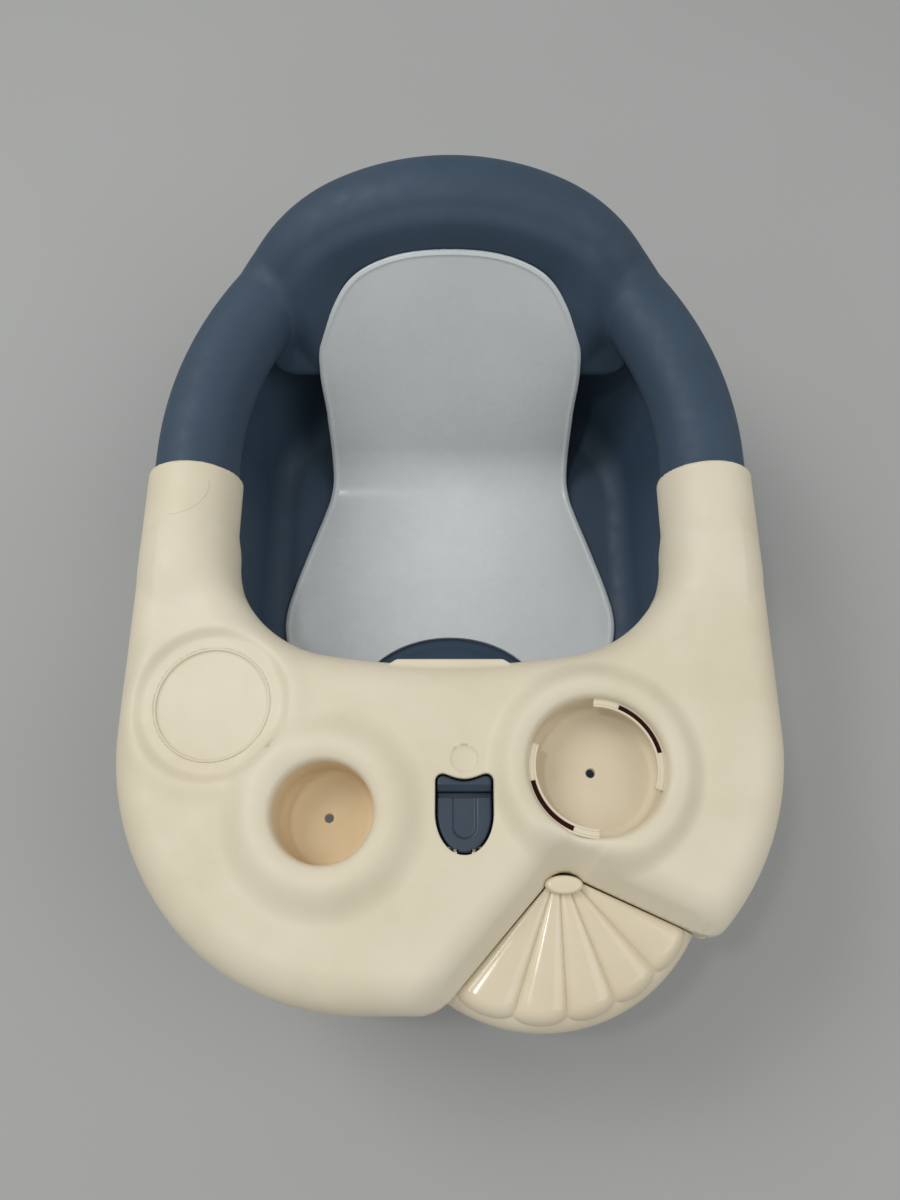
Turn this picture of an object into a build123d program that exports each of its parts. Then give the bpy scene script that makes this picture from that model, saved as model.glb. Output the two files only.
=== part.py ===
from build123d import *
import math
import os

# A bath seat for a baby: a moulded pan on four suction cups, a rounded backrest with two arms, a
# seat liner, and a play tray that slides off the arms once its latch is lifted. Millimetres,
# +X to the right seen from in front, +Y towards the backrest, +Z up. The origin is on the surface that the cups stand on, under the middle of the whole.

os.makedirs("parts", exist_ok=True)

# Larger than the whole object, for cuts that run right through it
beyond = 400.0

# How far a cut runs past a face, and how far a form that is added sinks into another
past = 1.0
sunk = 0.5

# Gaps between pieces
seat_gap = 0.3
slide_gap = 0.4
pin_gap = 0.05
screw_gap = 0.1

# Back roll: a tube bent into an arch that leans back
roll_radius = 28.0
roll_y = 234.0
roll_z = 199.0
back_lean = 27.0
crown_radius = 166.0
crown_half_angle = 22.5
shoulder_radius = 104.0
back_face_sink = 1.0
back_rear_depth = 14.0
back_lip_z = 108.0
back_lip_half_width = 111.0
back_lip_round = 14.0
back_step_y = 180.0
rim_room_depth = 16.0
rim_room_length = 200.0
tenon_half_width = 66.0

# Arms
arm_radius = 26.0
arm_x = 161.0
arm_z = 149.0
arm_front_y = 8.0
arm_bend_y = 74.0
arm_end_round = 4.0

# Seat pan
pan_wall = 3.5
pan_bottom_z = 10.0
pan_floor_z = 36.0
pan_low_half_width = 128.0
pan_high_half_width = 158.8
pan_low_rear_y = 172.0
pan_high_rear_y = 212.0
pan_low_rear_radius = 80.0
pan_high_rear_radius = 88.0
pan_low_front_y = -118.0
pan_high_front_y = -128.0
pan_low_front_radius = 50.0
pan_high_front_radius = 60.0
front_lip_z = 54.0
wall_start_y = 66.0
wall_middle_y = 20.0
wall_middle_z = 80.0
wall_low_y = -50.0
wall_low_rise = 3.0
drain_radius = 4.0
drain_x = 45.0
drain_y = 60.0
drain_spacing = 60.0

# Suction cups
cup_radius = 28.0
cup_lip = 2.5
cup_shoulder_z = 14.0
cup_neck_radius = 9.0
cup_stem_radius = 5.0
cup_stem_top_z = 27.0
cup_dome_z = 5.0
cup_flare_reach = 0.55
cup_flare_rise = 0.6
cup_x = 84.0
cup_front_y = -68.0
cup_rear_y = 112.0
cup_boss_radius = 12.0
cup_tab_length = 11.0
cup_tab_width = 12.0
cup_tab_thickness = 2.0

# Seat liner
liner_thickness = 2.5
liner_bend_radius = 46.0
liner_top_z = 196.0
liner_front_y = -52.0
liner_crown_x = 73.5
liner_crown_z = 170.0
liner_back_x = 92.0
liner_back_z = 131.0
liner_waist_x = 88.5
liner_waist_y = 112.0
liner_waist_z = 62.0
liner_hip_x = 105.0
liner_hip_y = 56.0
liner_seat_x = 120.5
liner_seat_y = -4.0
liner_nose_radius = 34.0
liner_flank_x = 130.0

# Front post
post_y = -62.0
post_root_x = 66.0
post_root_y = 49.0
post_top_x = 25.0
post_top_y = 23.0
post_top_shift = -30.0
post_top_z = 148.0
post_wall = 3.0
post_liner_gap = 1.2
post_flare_height = 22.0
post_flare_share_x = 0.66
post_flare_share_y = 0.68
post_flare_shift = 0.45
post_neck_height = 70.0
post_neck_share_x = 1.16
post_neck_share_y = 1.12
post_neck_shift = 0.9

# Tray
tray_top_z = 175.0
tray_bottom_z = 132.0
tray_wall = 2.8
tray_hollow_drop = 40.0
tray_half_width = 188.5
tray_edge_round = 22.0
tray_wing_rear_y = 20.0
tray_side_end_y = -105.0
tray_corner_x = 146.0
tray_corner_y = -210.0
tray_front_x = 45.0
tray_front_y = -252.0
cutout_half_width = 131.0
cutout_side_y = 10.0
cutout_corner_x = 70.0
cutout_corner_y = -59.5
cutout_bottom_y = -65.0

# Sleeves on the arms
sleeve_wall = 2.6
sleeve_rear_y = 58.0
sleeve_dome_y = -8.0

# Wells and shallow recess in the tray
well_wall = 2.5
left_well = (-67.7, -151.3)
left_well_radius = 27.0
left_well_crest = 37.0
left_well_foot = 54.0
left_well_floor_z = 147.0
right_well = (79.1, -127.2)
right_well_radius = 37.2
right_well_crest = 45.0
right_well_foot = 57.0
right_well_floor_z = 153.0
rim_height = 8.0
rim_round = 3.0
well_drain_radius = 2.5
well_seat = 1.5
ledge_drop = 8.0
ledge_inner_radius = 33.2
ledge_thickness = 2.4
ledge_start = -21.0
ledge_angle = 111.0
ledge_slot_start = 33.0
ledge_slot_angle = 55.0
ledge_slot_width = 1.8
ledge_end_slope = 4.0
ledge_slot_radius = 35.4
recess_centre = (-132.6, -91.9)
recess_radius = 31.0
recess_bead = 1.5
recess_depth = 1.3
recess_bead_height = 0.6

# Latch: a tongue on the post, and a lever in the tray that hooks on it
tongue_half_width = 27.0
tongue_thickness = 13.6
tongue_rear_y = -71.0
tongue_front_y = -178.0
tongue_corner = 10.0
tongue_notch_depth = 4.0
tongue_notch_play = 1.0
tongue_lead_in = 2.5
tongue_screw_cover = 2.0
guide_wall = 2.2
mouth_half_width = 31.0
mouth_rear_y = -63.5
mouth_front_y = -78.0
mouth_rise = 3.6
mouth_end_slope = 4.0
slot_half_width = 33.0
latch_x = 7.7
latch_rear_y = -131.5
latch_front_y = -172.0
latch_half_width = 14.7
latch_hole_gap = 1.1
latch_keeper_length = 8.0
latch_keeper_top_z = 173.6
latch_pad_top_z = 171.5
latch_bottom_z = 165.6
latch_pad_dip = 0.9
pad_hollow_length = 22.0
pad_hollow_width = 14.0
pad_hollow_shift = 5.0
grip_radius = 13.0
grip_offset = 9.5
grip_depth = 3.0
lip_slope_length = 3.0
lip_slope_foot = 1.2
hook_half_width = 6.0
hook_thickness = 3.0
ear_offset = 5.0
ear_width = 2.2
ear_radius = 2.6
ear_gap = 0.4
ear_front_y = -179.0
pin_radius = 1.5
pin_y = -168.8
pin_z = 167.5
pin_length = 17.6
coil_radius = 2.1
coil_wire = 0.45
coil_turns = 6
coil_pitch = 0.8
finger_dish_y = -122.5
finger_dish_sphere = 25.0
finger_dish_depth = 1.0
socket_floor_rear_y = -119.0
socket_floor = 2.0
socket_floor_gap = 0.1
mouth_corner = 3.0
mouth_cut_length = 26.5

# Scallop shell ornament in the tray's front right corner
fan_apex = (61.0, -187.0)
fan_centre = (49.0, -166.0)
fan_radius = 96.0
fan_left = (-1.0, -246.5)
fan_right = (131.5, -213.0)
fan_shelf_z = 137.0
fan_top_z = 158.0
fan_rim_z = 141.0
fan_gap = 0.6
fan_shoulder = 9.0
fan_shoulder_slope = 38.0
fan_knob_x = 10.0
fan_knob_y = 5.5
fan_knob_z = 162.0
fan_knob_round = 1.8
fan_knob_shift = 1.0
fan_wall = 2.2
fan_base = 6.0
fan_dome_z = 168.0
fan_rim_round = 16.0
fan_screw_reach = 35.0
fan_screw_sink = 2.5
fan_boss_top_z = 152.0
fan_rim_wall = 4.2
fan_hollow_radius = 70.0
flute_count = 5
flute_first_angle = -125.4
flute_step_angle = 23.55
flute_small_radius = 5.0
flute_large_radius = 24.0
flute_length = 84.0
flute_end_z = 152.0

# Screws
screw_radius = 1.7
screw_head_radius = 3.5
screw_head_height = 2.2
screw_length = 12.0
back_screw_length = 18.0
back_screw_drop = 7.5
back_screw_x = (24.0, 56.0)
boss_radius = 4.5
post_screw_x = 14.0


def mix(low, high, share):
    """The value that lies the given share of the way from low to high."""
    return low + (high - low) * share


def screw(tip_direction, head_at, length):
    """A pan-head screw: its head's underside is at head_at and its shank runs along the direction."""
    seat = Plane(origin=head_at, z_dir=tip_direction)
    with BuildPart(mode=Mode.PRIVATE) as made:
        with BuildSketch(seat):
            Circle(screw_radius)
        extrude(amount=length)
        with BuildSketch(seat):
            Circle(screw_head_radius)
        extrude(amount=-screw_head_height)
        outer = made.faces().sort_by(Axis(head_at, tip_direction))[0]
        chamfer(outer.edges(), screw_head_height * 0.4)
    return made.part


# Where the pan's wall ends, under the arms, and where its rear wall stands

pan_top_z = arm_z - arm_radius - seat_gap
rear_wall_slope = (pan_high_rear_y - pan_low_rear_y) / (pan_top_z - pan_bottom_z)


def rear_wall_y(z):
    """Y of the pan's rear wall, on its outside, at height z."""
    return pan_high_rear_y - rear_wall_slope * (pan_top_z - z)


rear_wall_lean = math.atan(rear_wall_slope)
into_rear_wall = (0, -math.cos(rear_wall_lean), math.sin(rear_wall_lean))
tenon_rear_y = rear_wall_y(back_lip_z) - pan_wall / math.cos(rear_wall_lean) - seat_gap
back_screw_z = pan_top_z - back_screw_drop
back_screw_heads = [
    (side * x, rear_wall_y(back_screw_z), back_screw_z) for side in (-1, 1) for x in back_screw_x
]


def pan_section(z, inset):
    """Plan of the pan's wall at height z, drawn inwards by inset."""
    share = (z - pan_bottom_z) / (pan_top_z - pan_bottom_z)
    half_width = mix(pan_low_half_width, pan_high_half_width, share) - inset
    rear_y = mix(pan_low_rear_y, pan_high_rear_y, share) - inset
    front_y = mix(pan_low_front_y, pan_high_front_y, share) + inset
    rear_radius = mix(pan_low_rear_radius, pan_high_rear_radius, share) - inset
    front_radius = mix(pan_low_front_radius, pan_high_front_radius, share) - inset
    with BuildSketch(Plane.XY.offset(z)) as plan:
        with Locations((0, (rear_y + front_y) / 2)):
            Rectangle(2 * half_width, rear_y - front_y)
        fillet(plan.vertices().group_by(Axis.Y)[-1], rear_radius)
        fillet(plan.vertices().group_by(Axis.Y)[0], front_radius)
    return plan.sketch


# Backrest and arms

lean = math.radians(back_lean)
arch_plane = Plane(
    origin=(0, roll_y, roll_z),
    x_dir=(1, 0, 0),
    z_dir=(0, -math.cos(lean), math.sin(lean)),
)
crown_turn = math.radians(crown_half_angle)
shoulder_x = (crown_radius - shoulder_radius) * math.sin(crown_turn)
shoulder_y = -crown_radius + (crown_radius - shoulder_radius) * math.cos(crown_turn)
arch_foot_y = (arm_z - roll_z) / math.cos(lean)
arch_foot_angle = math.degrees(math.asin((arch_foot_y - shoulder_y) / shoulder_radius))
shoulder_span = 90 - crown_half_angle - arch_foot_angle

with BuildLine(arch_plane) as arch_path:
    CenterArc((shoulder_x, shoulder_y), shoulder_radius, arch_foot_angle, shoulder_span)
    CenterArc((0, -crown_radius), crown_radius, 90 - crown_half_angle, 2 * crown_half_angle)
    CenterArc((-shoulder_x, shoulder_y), shoulder_radius, 90 + crown_half_angle, shoulder_span)

arch_foot = shoulder_x + shoulder_radius * math.cos(math.radians(arch_foot_angle))
foot_y = roll_y + arch_foot_y * math.sin(lean)
arm_reach = foot_y - arm_bend_y
arm_inset = arm_x - arch_foot
arm_bend_radius = (arm_reach ** 2 + arm_inset ** 2) / (2 * arm_inset)
arm_bend_angle = math.degrees(math.asin(arm_reach / arm_bend_radius))

with BuildPart() as back_slab:
    with BuildSketch(arch_plane.offset(-back_rear_depth)):
        with BuildLine():
            right_side = CenterArc(
                (shoulder_x, shoulder_y), shoulder_radius, arch_foot_angle, shoulder_span
            )
            CenterArc((0, -crown_radius), crown_radius, 90 - crown_half_angle, 2 * crown_half_angle)
            left_side = CenterArc(
                (-shoulder_x, shoulder_y), shoulder_radius, 90 + crown_half_angle, shoulder_span
            )
            deep = -(roll_z - back_lip_z) / math.cos(lean) - roll_radius
            Polyline(
                left_side @ 1,
                (-back_lip_half_width, deep),
                (back_lip_half_width, deep),
                right_side @ 0,
            )
        make_face()
    extrude(amount=back_rear_depth + roll_radius - back_face_sink)
    with Locations((0, roll_y, back_lip_z)):
        Box(
            beyond,
            beyond,
            beyond,
            align=(Align.CENTER, Align.CENTER, Align.MAX),
            mode=Mode.SUBTRACT,
        )
    lip = back_slab.edges().filter_by(Axis.X).group_by(Axis.Z)[0].sort_by(Axis.Y)[0]
    fillet(lip, back_lip_round)
    # The foot stands in the pan's mouth, and its middle reaches back to the pan's rear wall
    with BuildSketch(Plane.XY.offset(back_lip_z - 1)):
        with Locations((0, back_step_y)):
            Rectangle(beyond, beyond, align=(Align.CENTER, Align.MIN))
        with Locations((0, back_step_y)):
            Rectangle(
                2 * tenon_half_width,
                tenon_rear_y - back_step_y,
                align=(Align.CENTER, Align.MIN),
                mode=Mode.SUBTRACT,
            )
    extrude(amount=arm_z - arm_radius - back_lip_z + 1, mode=Mode.SUBTRACT)

with BuildPart() as backrest:
    with BuildSketch(Plane(origin=arch_path.wire() @ 0, z_dir=arch_path.wire() % 0)):
        Circle(roll_radius)
    sweep(path=arch_path.wire())
    with Locations(arch_path.wire() @ 0, arch_path.wire() @ 1):
        Sphere(roll_radius)
    add(back_slab.part)
    for side in (1, -1):
        with BuildLine(Plane.XY.offset(arm_z)) as arm_path:
            Line((side * arm_x, arm_front_y), (side * arm_x, arm_bend_y))
            CenterArc(
                (side * (arm_x - arm_bend_radius), arm_bend_y),
                arm_bend_radius,
                0 if side > 0 else 180,
                side * arm_bend_angle,
            )
        with BuildSketch(Plane.XZ.offset(-arm_front_y)):
            with Locations((side * arm_x, arm_z)):
                Circle(arm_radius)
        sweep(path=arm_path.wire())
    arm_ends = backrest.edges().filter_by(GeomType.CIRCLE).group_by(Axis.Y)[0]
    chamfer(arm_ends, arm_end_round)
    # Below the pan's rim the foot keeps clear of the pan's wall
    with BuildPart(mode=Mode.PRIVATE) as rim_room:
        with Locations((0, roll_y, pan_top_z + seat_gap)):
            Box(
                beyond,
                rim_room_length,
                rim_room_depth,
                align=(Align.CENTER, Align.CENTER, Align.MAX),
            )
        loft(
            [
                pan_section(pan_top_z - rim_room_depth, pan_wall + seat_gap),
                pan_section(pan_top_z + 1, pan_wall + seat_gap),
            ],
            mode=Mode.SUBTRACT,
        )
    add(rim_room.part, mode=Mode.SUBTRACT)
    for head in back_screw_heads:
        with BuildSketch(Plane(origin=head, z_dir=into_rear_wall)):
            Circle(screw_radius + screw_gap)
        extrude(amount=back_screw_length + 2, mode=Mode.SUBTRACT)

backrest.part.label = "backrest"
export_step(backrest.part, "parts/backrest.step")


# Seat pan

cup_places = {
    "front_left": (-cup_x, cup_front_y),
    "front_right": (cup_x, cup_front_y),
    "rear_left": (-cup_x, cup_rear_y),
    "rear_right": (cup_x, cup_rear_y),
}

with BuildPart() as seat_pan:
    loft([pan_section(pan_bottom_z, 0), pan_section(pan_top_z, 0)], ruled=True)
    loft(
        [pan_section(pan_floor_z, pan_wall), pan_section(pan_top_z + 1, pan_wall)],
        ruled=True,
        mode=Mode.SUBTRACT,
    )
    loft(
        [
            pan_section(pan_bottom_z - 1, pan_wall),
            pan_section(pan_floor_z - pan_wall, pan_wall),
        ],
        ruled=True,
        mode=Mode.SUBTRACT,
    )
    # The wall sweeps down from under the arms to a low lip that the legs pass over
    with BuildSketch(Plane.YZ):
        with BuildLine():
            sweep_down = Spline(
                (wall_start_y, pan_top_z + 1),
                (wall_middle_y, wall_middle_z),
                (wall_low_y, front_lip_z + wall_low_rise),
                (pan_high_front_y - 10, front_lip_z),
                tangents=((-0.25, -1), (-1, 0)),
            )
            Polyline(
                sweep_down @ 1,
                (pan_high_front_y - 10, pan_top_z + 10),
                (wall_start_y, pan_top_z + 10),
                sweep_down @ 0,
            )
        make_face()
    extrude(amount=pan_high_half_width + 20, both=True, mode=Mode.SUBTRACT)
    # Sockets for the cups' stems
    with BuildSketch(Plane.XY.offset(cup_shoulder_z)):
        with Locations(*cup_places.values()):
            Circle(cup_boss_radius)
    extrude(until=Until.NEXT)
    with BuildSketch(Plane.XY.offset(cup_shoulder_z)):
        with Locations(*cup_places.values()):
            Circle(cup_stem_radius + seat_gap)
    extrude(amount=cup_stem_top_z + seat_gap - cup_shoulder_z, mode=Mode.SUBTRACT)
    # Drain holes in the floor and holes for the post's screws
    with BuildSketch(Plane.XY.offset(pan_floor_z)):
        with Locations((0, drain_y)):
            with GridLocations(2 * drain_x, drain_spacing, 2, 2):
                Circle(drain_radius)
        with Locations(*[(side * post_screw_x, post_y + post_top_shift) for side in (-1, 1)]):
            Circle(screw_radius + screw_gap)
    extrude(amount=-2 * pan_wall, mode=Mode.SUBTRACT)
    # Holes for the screws that hold the backrest
    for head in back_screw_heads:
        with BuildSketch(Plane(origin=head, z_dir=into_rear_wall)):
            Circle(screw_radius + screw_gap)
        extrude(amount=2 * pan_wall, mode=Mode.SUBTRACT)

seat_pan.part.label = "seat_pan"
export_step(seat_pan.part, "parts/seat_pan.step")


# Suction cups

with BuildPart() as suction_cup:
    with BuildSketch(Plane.XZ):
        with BuildLine():
            flare = ThreePointArc(
                (cup_neck_radius, cup_shoulder_z - cup_lip),
                (cup_radius * cup_flare_reach, cup_dome_z + cup_flare_rise),
                (cup_radius, cup_lip * 0.5),
            )
            Polyline(
                flare @ 0,
                (cup_neck_radius, cup_shoulder_z - seat_gap),
                (cup_stem_radius, cup_shoulder_z - seat_gap),
                (cup_stem_radius, cup_stem_top_z),
                (0, cup_stem_top_z),
                (0, cup_dome_z),
            )
            dome = TangentArc((0, cup_dome_z), (cup_radius - cup_lip, 0), tangent=(1, 0))
            Polyline(dome @ 1, (cup_radius, 0), flare @ 1)
        make_face()
    revolve(axis=Axis.Z)
    # The tab that a finger lifts to let the air in
    with BuildSketch(Plane.XY.offset(0)):
        with Locations((cup_radius + cup_tab_length / 2 - cup_lip, 0)):
            SlotOverall(cup_tab_length + cup_lip, cup_tab_width / 2, rotation=0)
    extrude(amount=cup_tab_thickness)

for name, (x, y) in cup_places.items():
    turned = suction_cup.part.rotate(Axis.Z, 0 if x > 0 else 180)
    with BuildPart() as placed_cup:
        with Locations((x, y, 0)):
            add(turned)
    placed_cup.part.label = "suction_cup_" + name
    export_step(placed_cup.part, "parts/suction_cup_" + name + ".step")


# Seat liner: a thin panel that runs down the backrest, bends and lies on the pan's floor

face_y_at_roll = roll_y - roll_radius / math.cos(lean)
back_slope = math.tan(lean)


def face_y(z):
    """Y of the backrest's front face at height z."""
    return face_y_at_roll - back_slope * (roll_z - z)


liner_low_z = pan_floor_z + seat_gap
liner_top_y = face_y(liner_top_z) - seat_gap / math.cos(lean)
liner_corner_y = face_y(liner_low_z) - seat_gap / math.cos(lean)

with BuildPart() as seat_liner:
    # The panel's side profile, as wide as the pan
    with BuildSketch(Plane.YZ):
        with BuildLine():
            FilletPolyline(
                (liner_top_y, liner_top_z + 10),
                (liner_corner_y, liner_low_z),
                (liner_front_y, liner_low_z),
                radius=liner_bend_radius,
            )
            offset(amount=liner_thickness, side=Side.RIGHT)
        make_face()
    extrude(amount=pan_low_half_width, both=True)
    # Its outline seen from the front, above the bend
    with BuildSketch(Plane.XZ.offset(-liner_top_y - 50)):
        with BuildLine():
            crown = Spline(
                (0, liner_top_z),
                (liner_crown_x, liner_crown_z),
                (liner_back_x, liner_back_z),
                (liner_waist_x, liner_waist_z),
                tangents=((1, 0), (-0.05, -1)),
            )
            seat_top_z = liner_low_z + 1.5 * liner_thickness
            Polyline(
                crown @ 1,
                (liner_waist_x, seat_top_z),
                (liner_flank_x, seat_top_z),
                (liner_flank_x, 0),
                (0, 0),
                crown @ 0,
            )
        make_face()
        mirror(about=Plane.YZ)
    extrude(amount=beyond, mode=Mode.INTERSECT)
    # Its outline seen from above, in front of the bend
    with BuildSketch(Plane.XY):
        with BuildLine():
            flank = Spline(
                (liner_waist_x, liner_waist_y),
                (liner_hip_x, liner_hip_y),
                (liner_seat_x, liner_seat_y),
                (liner_seat_x - liner_nose_radius, liner_front_y),
                tangents=((0.05, -1), (-1, 0)),
            )
            Polyline(
                flank @ 1,
                (0, liner_front_y),
                (0, liner_top_y + 50),
                (liner_flank_x, liner_top_y + 50),
                (liner_flank_x, liner_corner_y + liner_bend_radius / 3),
                (liner_waist_x, liner_corner_y + liner_bend_radius / 3),
                flank @ 0,
            )
        make_face()
        mirror(about=Plane.YZ)
        with Locations((0, post_y)):
            Ellipse(post_root_x + post_liner_gap, post_root_y + post_liner_gap, mode=Mode.SUBTRACT)
    extrude(amount=beyond, mode=Mode.INTERSECT)

seat_liner.part.label = "seat_liner"
export_step(seat_liner.part, "parts/seat_liner.step")


# Front post: the hollow pommel between the legs, which also carries the latch's tongue

post_top_y_place = post_y + post_top_shift
post_rings = [
    (pan_floor_z + seat_gap, post_root_x, post_root_y, post_y),
    (
        pan_floor_z + post_flare_height,
        post_root_x * post_flare_share_x,
        post_root_y * post_flare_share_y,
        post_y + post_top_shift * post_flare_shift,
    ),
    (
        pan_floor_z + post_neck_height,
        post_top_x * post_neck_share_x,
        post_top_y * post_neck_share_y,
        post_y + post_top_shift * post_neck_shift,
    ),
    (post_top_z, post_top_x, post_top_y, post_top_y_place),
]


def post_solid(inset, top_cut):
    """The post's flared form, drawn inwards by inset and lowered at the top."""
    rings = []
    for z, half_x, half_y, y in post_rings:
        height = min(z, post_top_z - top_cut)
        with BuildSketch(Plane.XY.offset(height)) as ring:
            with Locations((0, y)):
                Ellipse(half_x - inset, half_y - inset)
        rings.append(ring.sketch)
    return rings


with BuildPart() as front_post:
    loft(post_solid(0, 0))
    loft(post_solid(post_wall, post_wall), ruled=True, mode=Mode.SUBTRACT)
    # Two columns inside, screwed from below and from above
    with BuildSketch(Plane.XY.offset(pan_floor_z + seat_gap)):
        with Locations((post_screw_x, post_top_y_place), (-post_screw_x, post_top_y_place)):
            Circle(boss_radius)
    extrude(until=Until.NEXT)
    with BuildSketch(Plane.XY.offset(pan_floor_z)):
        with Locations((post_screw_x, post_top_y_place), (-post_screw_x, post_top_y_place)):
            Circle(screw_radius + screw_gap)
    extrude(amount=post_top_z - pan_floor_z + 1, mode=Mode.SUBTRACT)

front_post.part.label = "front_post"
export_step(front_post.part, "parts/front_post.step")

with BuildPart() as post_screws:
    for side in (-1, 1):
        head = (side * post_screw_x, post_top_y_place, pan_floor_z - pan_wall)
        add(screw((0, 0, 1), head, screw_length))

post_screws.part.label = "post_screws"
export_step(post_screws.part, "parts/post_screws.step")

with BuildPart() as back_screws:
    for head in back_screw_heads:
        add(screw(into_rear_wall, head, back_screw_length))

back_screws.part.label = "back_screws"
export_step(back_screws.part, "parts/back_screws.step")


# Latch tongue: a bar screwed on the post, which the tray's socket slides over

tongue_bottom_z = post_top_z + seat_gap
tongue_top_z = tongue_bottom_z + tongue_thickness
tongue_seat_z = tongue_top_z - 2 * screw_head_height - tongue_screw_cover

with BuildPart() as latch_tongue:
    with BuildSketch(Plane.XY.offset(tongue_bottom_z)) as tongue_plan:
        with Locations((0, (tongue_rear_y + tongue_front_y) / 2)):
            Rectangle(2 * tongue_half_width, tongue_rear_y - tongue_front_y)
        fillet(tongue_plan.vertices().group_by(Axis.Y)[0], tongue_corner)
    extrude(amount=tongue_thickness)
    # Lead-in at the front end, top and bottom
    nose = latch_tongue.edges().filter_by(Axis.X).group_by(Axis.Y)[0]
    chamfer(nose, tongue_lead_in)
    # Notch that the lever's hook drops into
    with BuildSketch(Plane.XY.offset(tongue_top_z)):
        with Locations((latch_x, latch_rear_y - hook_thickness / 2)):
            Rectangle(
                2 * (hook_half_width + tongue_notch_play),
                hook_thickness + 2 * tongue_notch_play,
            )
    extrude(amount=-tongue_notch_depth, mode=Mode.SUBTRACT)
    # Screws down into the post
    with BuildSketch(Plane.XY.offset(tongue_top_z)):
        with Locations((post_screw_x, post_top_y_place), (-post_screw_x, post_top_y_place)):
            Circle(screw_head_radius + seat_gap)
    extrude(amount=tongue_seat_z - tongue_top_z, mode=Mode.SUBTRACT)
    with BuildSketch(Plane.XY.offset(tongue_top_z)):
        with Locations((post_screw_x, post_top_y_place), (-post_screw_x, post_top_y_place)):
            Circle(screw_radius + screw_gap)
    extrude(amount=-tongue_thickness, mode=Mode.SUBTRACT)

latch_tongue.part.label = "latch_tongue"
export_step(latch_tongue.part, "parts/latch_tongue.step")

with BuildPart() as tongue_screws:
    for side in (-1, 1):
        head = (side * post_screw_x, post_top_y_place, tongue_seat_z)
        add(screw((0, 0, -1), head, screw_length))

tongue_screws.part.label = "tongue_screws"
export_step(tongue_screws.part, "parts/tongue_screws.step")


# Latch lever, hinged in the tray at its round front end

lever_width = 2 * latch_half_width
lever_length = latch_rear_y - latch_front_y


def lever_plan(grow):
    """The lever's outline from above, a U with its round end to the front, grown all round."""
    with BuildSketch(mode=Mode.PRIVATE) as plan:
        with Locations((latch_x, (latch_rear_y + latch_front_y + latch_half_width) / 2)):
            Rectangle(lever_width, lever_length - latch_half_width)
        with Locations((latch_x, latch_front_y + latch_half_width)):
            Circle(latch_half_width)
        if grow > 0:
            offset(amount=grow)
    return plan.sketch


with BuildPart() as latch_lever:
    with BuildSketch(Plane.XY.offset(latch_bottom_z)):
        add(lever_plan(0))
    extrude(amount=latch_keeper_top_z - latch_bottom_z)
    # Finger pad: lower than the lip behind it, with a slope between them
    lip_front_y = latch_rear_y - latch_keeper_length
    with BuildSketch(Plane.YZ.offset(latch_x - latch_half_width - 1)):
        with BuildLine():
            Polyline(
                (lip_front_y, latch_keeper_top_z + 1),
                (lip_front_y, latch_keeper_top_z),
                (lip_front_y - lip_slope_length, latch_pad_top_z - lip_slope_foot),
                (lip_front_y - lip_slope_length - past, latch_pad_top_z),
                (latch_front_y - 5, latch_pad_top_z),
                (latch_front_y - 5, latch_keeper_top_z + 1),
                close=True,
            )
        make_face()
    extrude(amount=lever_width + 2, mode=Mode.SUBTRACT)
    # Shallow finger hollow in the pad
    with BuildSketch(Plane.XY.offset(latch_pad_top_z)):
        with Locations((latch_x, (latch_rear_y + latch_front_y) / 2 - pad_hollow_shift)):
            SlotOverall(pad_hollow_length, pad_hollow_width, rotation=90)
    extrude(amount=-latch_pad_dip, mode=Mode.SUBTRACT)
    # Concave rear edge, which a fingertip lifts
    with BuildSketch(Plane.XY.offset(latch_keeper_top_z - grip_depth)):
        with Locations((latch_x, latch_rear_y + grip_offset)):
            Circle(grip_radius)
    extrude(amount=grip_depth + past, mode=Mode.SUBTRACT)
    # Hook that reaches down to the tongue
    with BuildSketch(Plane.XY.offset(tongue_top_z + slide_gap)):
        with Locations((latch_x, latch_rear_y - hook_thickness / 2 - 0.5)):
            Rectangle(2 * hook_half_width, hook_thickness)
    extrude(amount=latch_bottom_z - tongue_top_z)
    # Slots for the tray's two ears, a pocket for the spring between them, and the pin's bore
    with BuildSketch(Plane.XY.offset(latch_bottom_z)):
        for side in (-1, 1):
            with Locations((latch_x + side * ear_offset, pin_y + ear_radius + ear_gap)):
                Rectangle(
                    ear_width + 2 * ear_gap, lever_length, align=(Align.CENTER, Align.MAX)
                )
    extrude(amount=latch_keeper_top_z - latch_bottom_z + past, mode=Mode.SUBTRACT)
    with BuildSketch(Plane.YZ.offset(latch_x)):
        with Locations((pin_y, pin_z)):
            Circle(coil_radius + 2 * coil_wire)
        with Locations((pin_y, latch_bottom_z)):
            Rectangle(2 * (coil_radius + 2 * coil_wire), 2 * (pin_z - latch_bottom_z))
    extrude(amount=ear_offset - ear_width, both=True, mode=Mode.SUBTRACT)
    with BuildSketch(Plane.YZ.offset(latch_x)):
        with Locations((pin_y, pin_z)):
            Circle(pin_radius + pin_gap)
    extrude(amount=latch_half_width, both=True, mode=Mode.SUBTRACT)

latch_lever.part.label = "latch_lever"
export_step(latch_lever.part, "parts/latch_lever.step")

with BuildPart() as latch_pin:
    with BuildSketch(Plane.YZ.offset(latch_x)):
        with Locations((pin_y, pin_z)):
            Circle(pin_radius)
    extrude(amount=pin_length / 2, both=True)

latch_pin.part.label = "latch_pin"
export_step(latch_pin.part, "parts/latch_pin.step")

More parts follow.
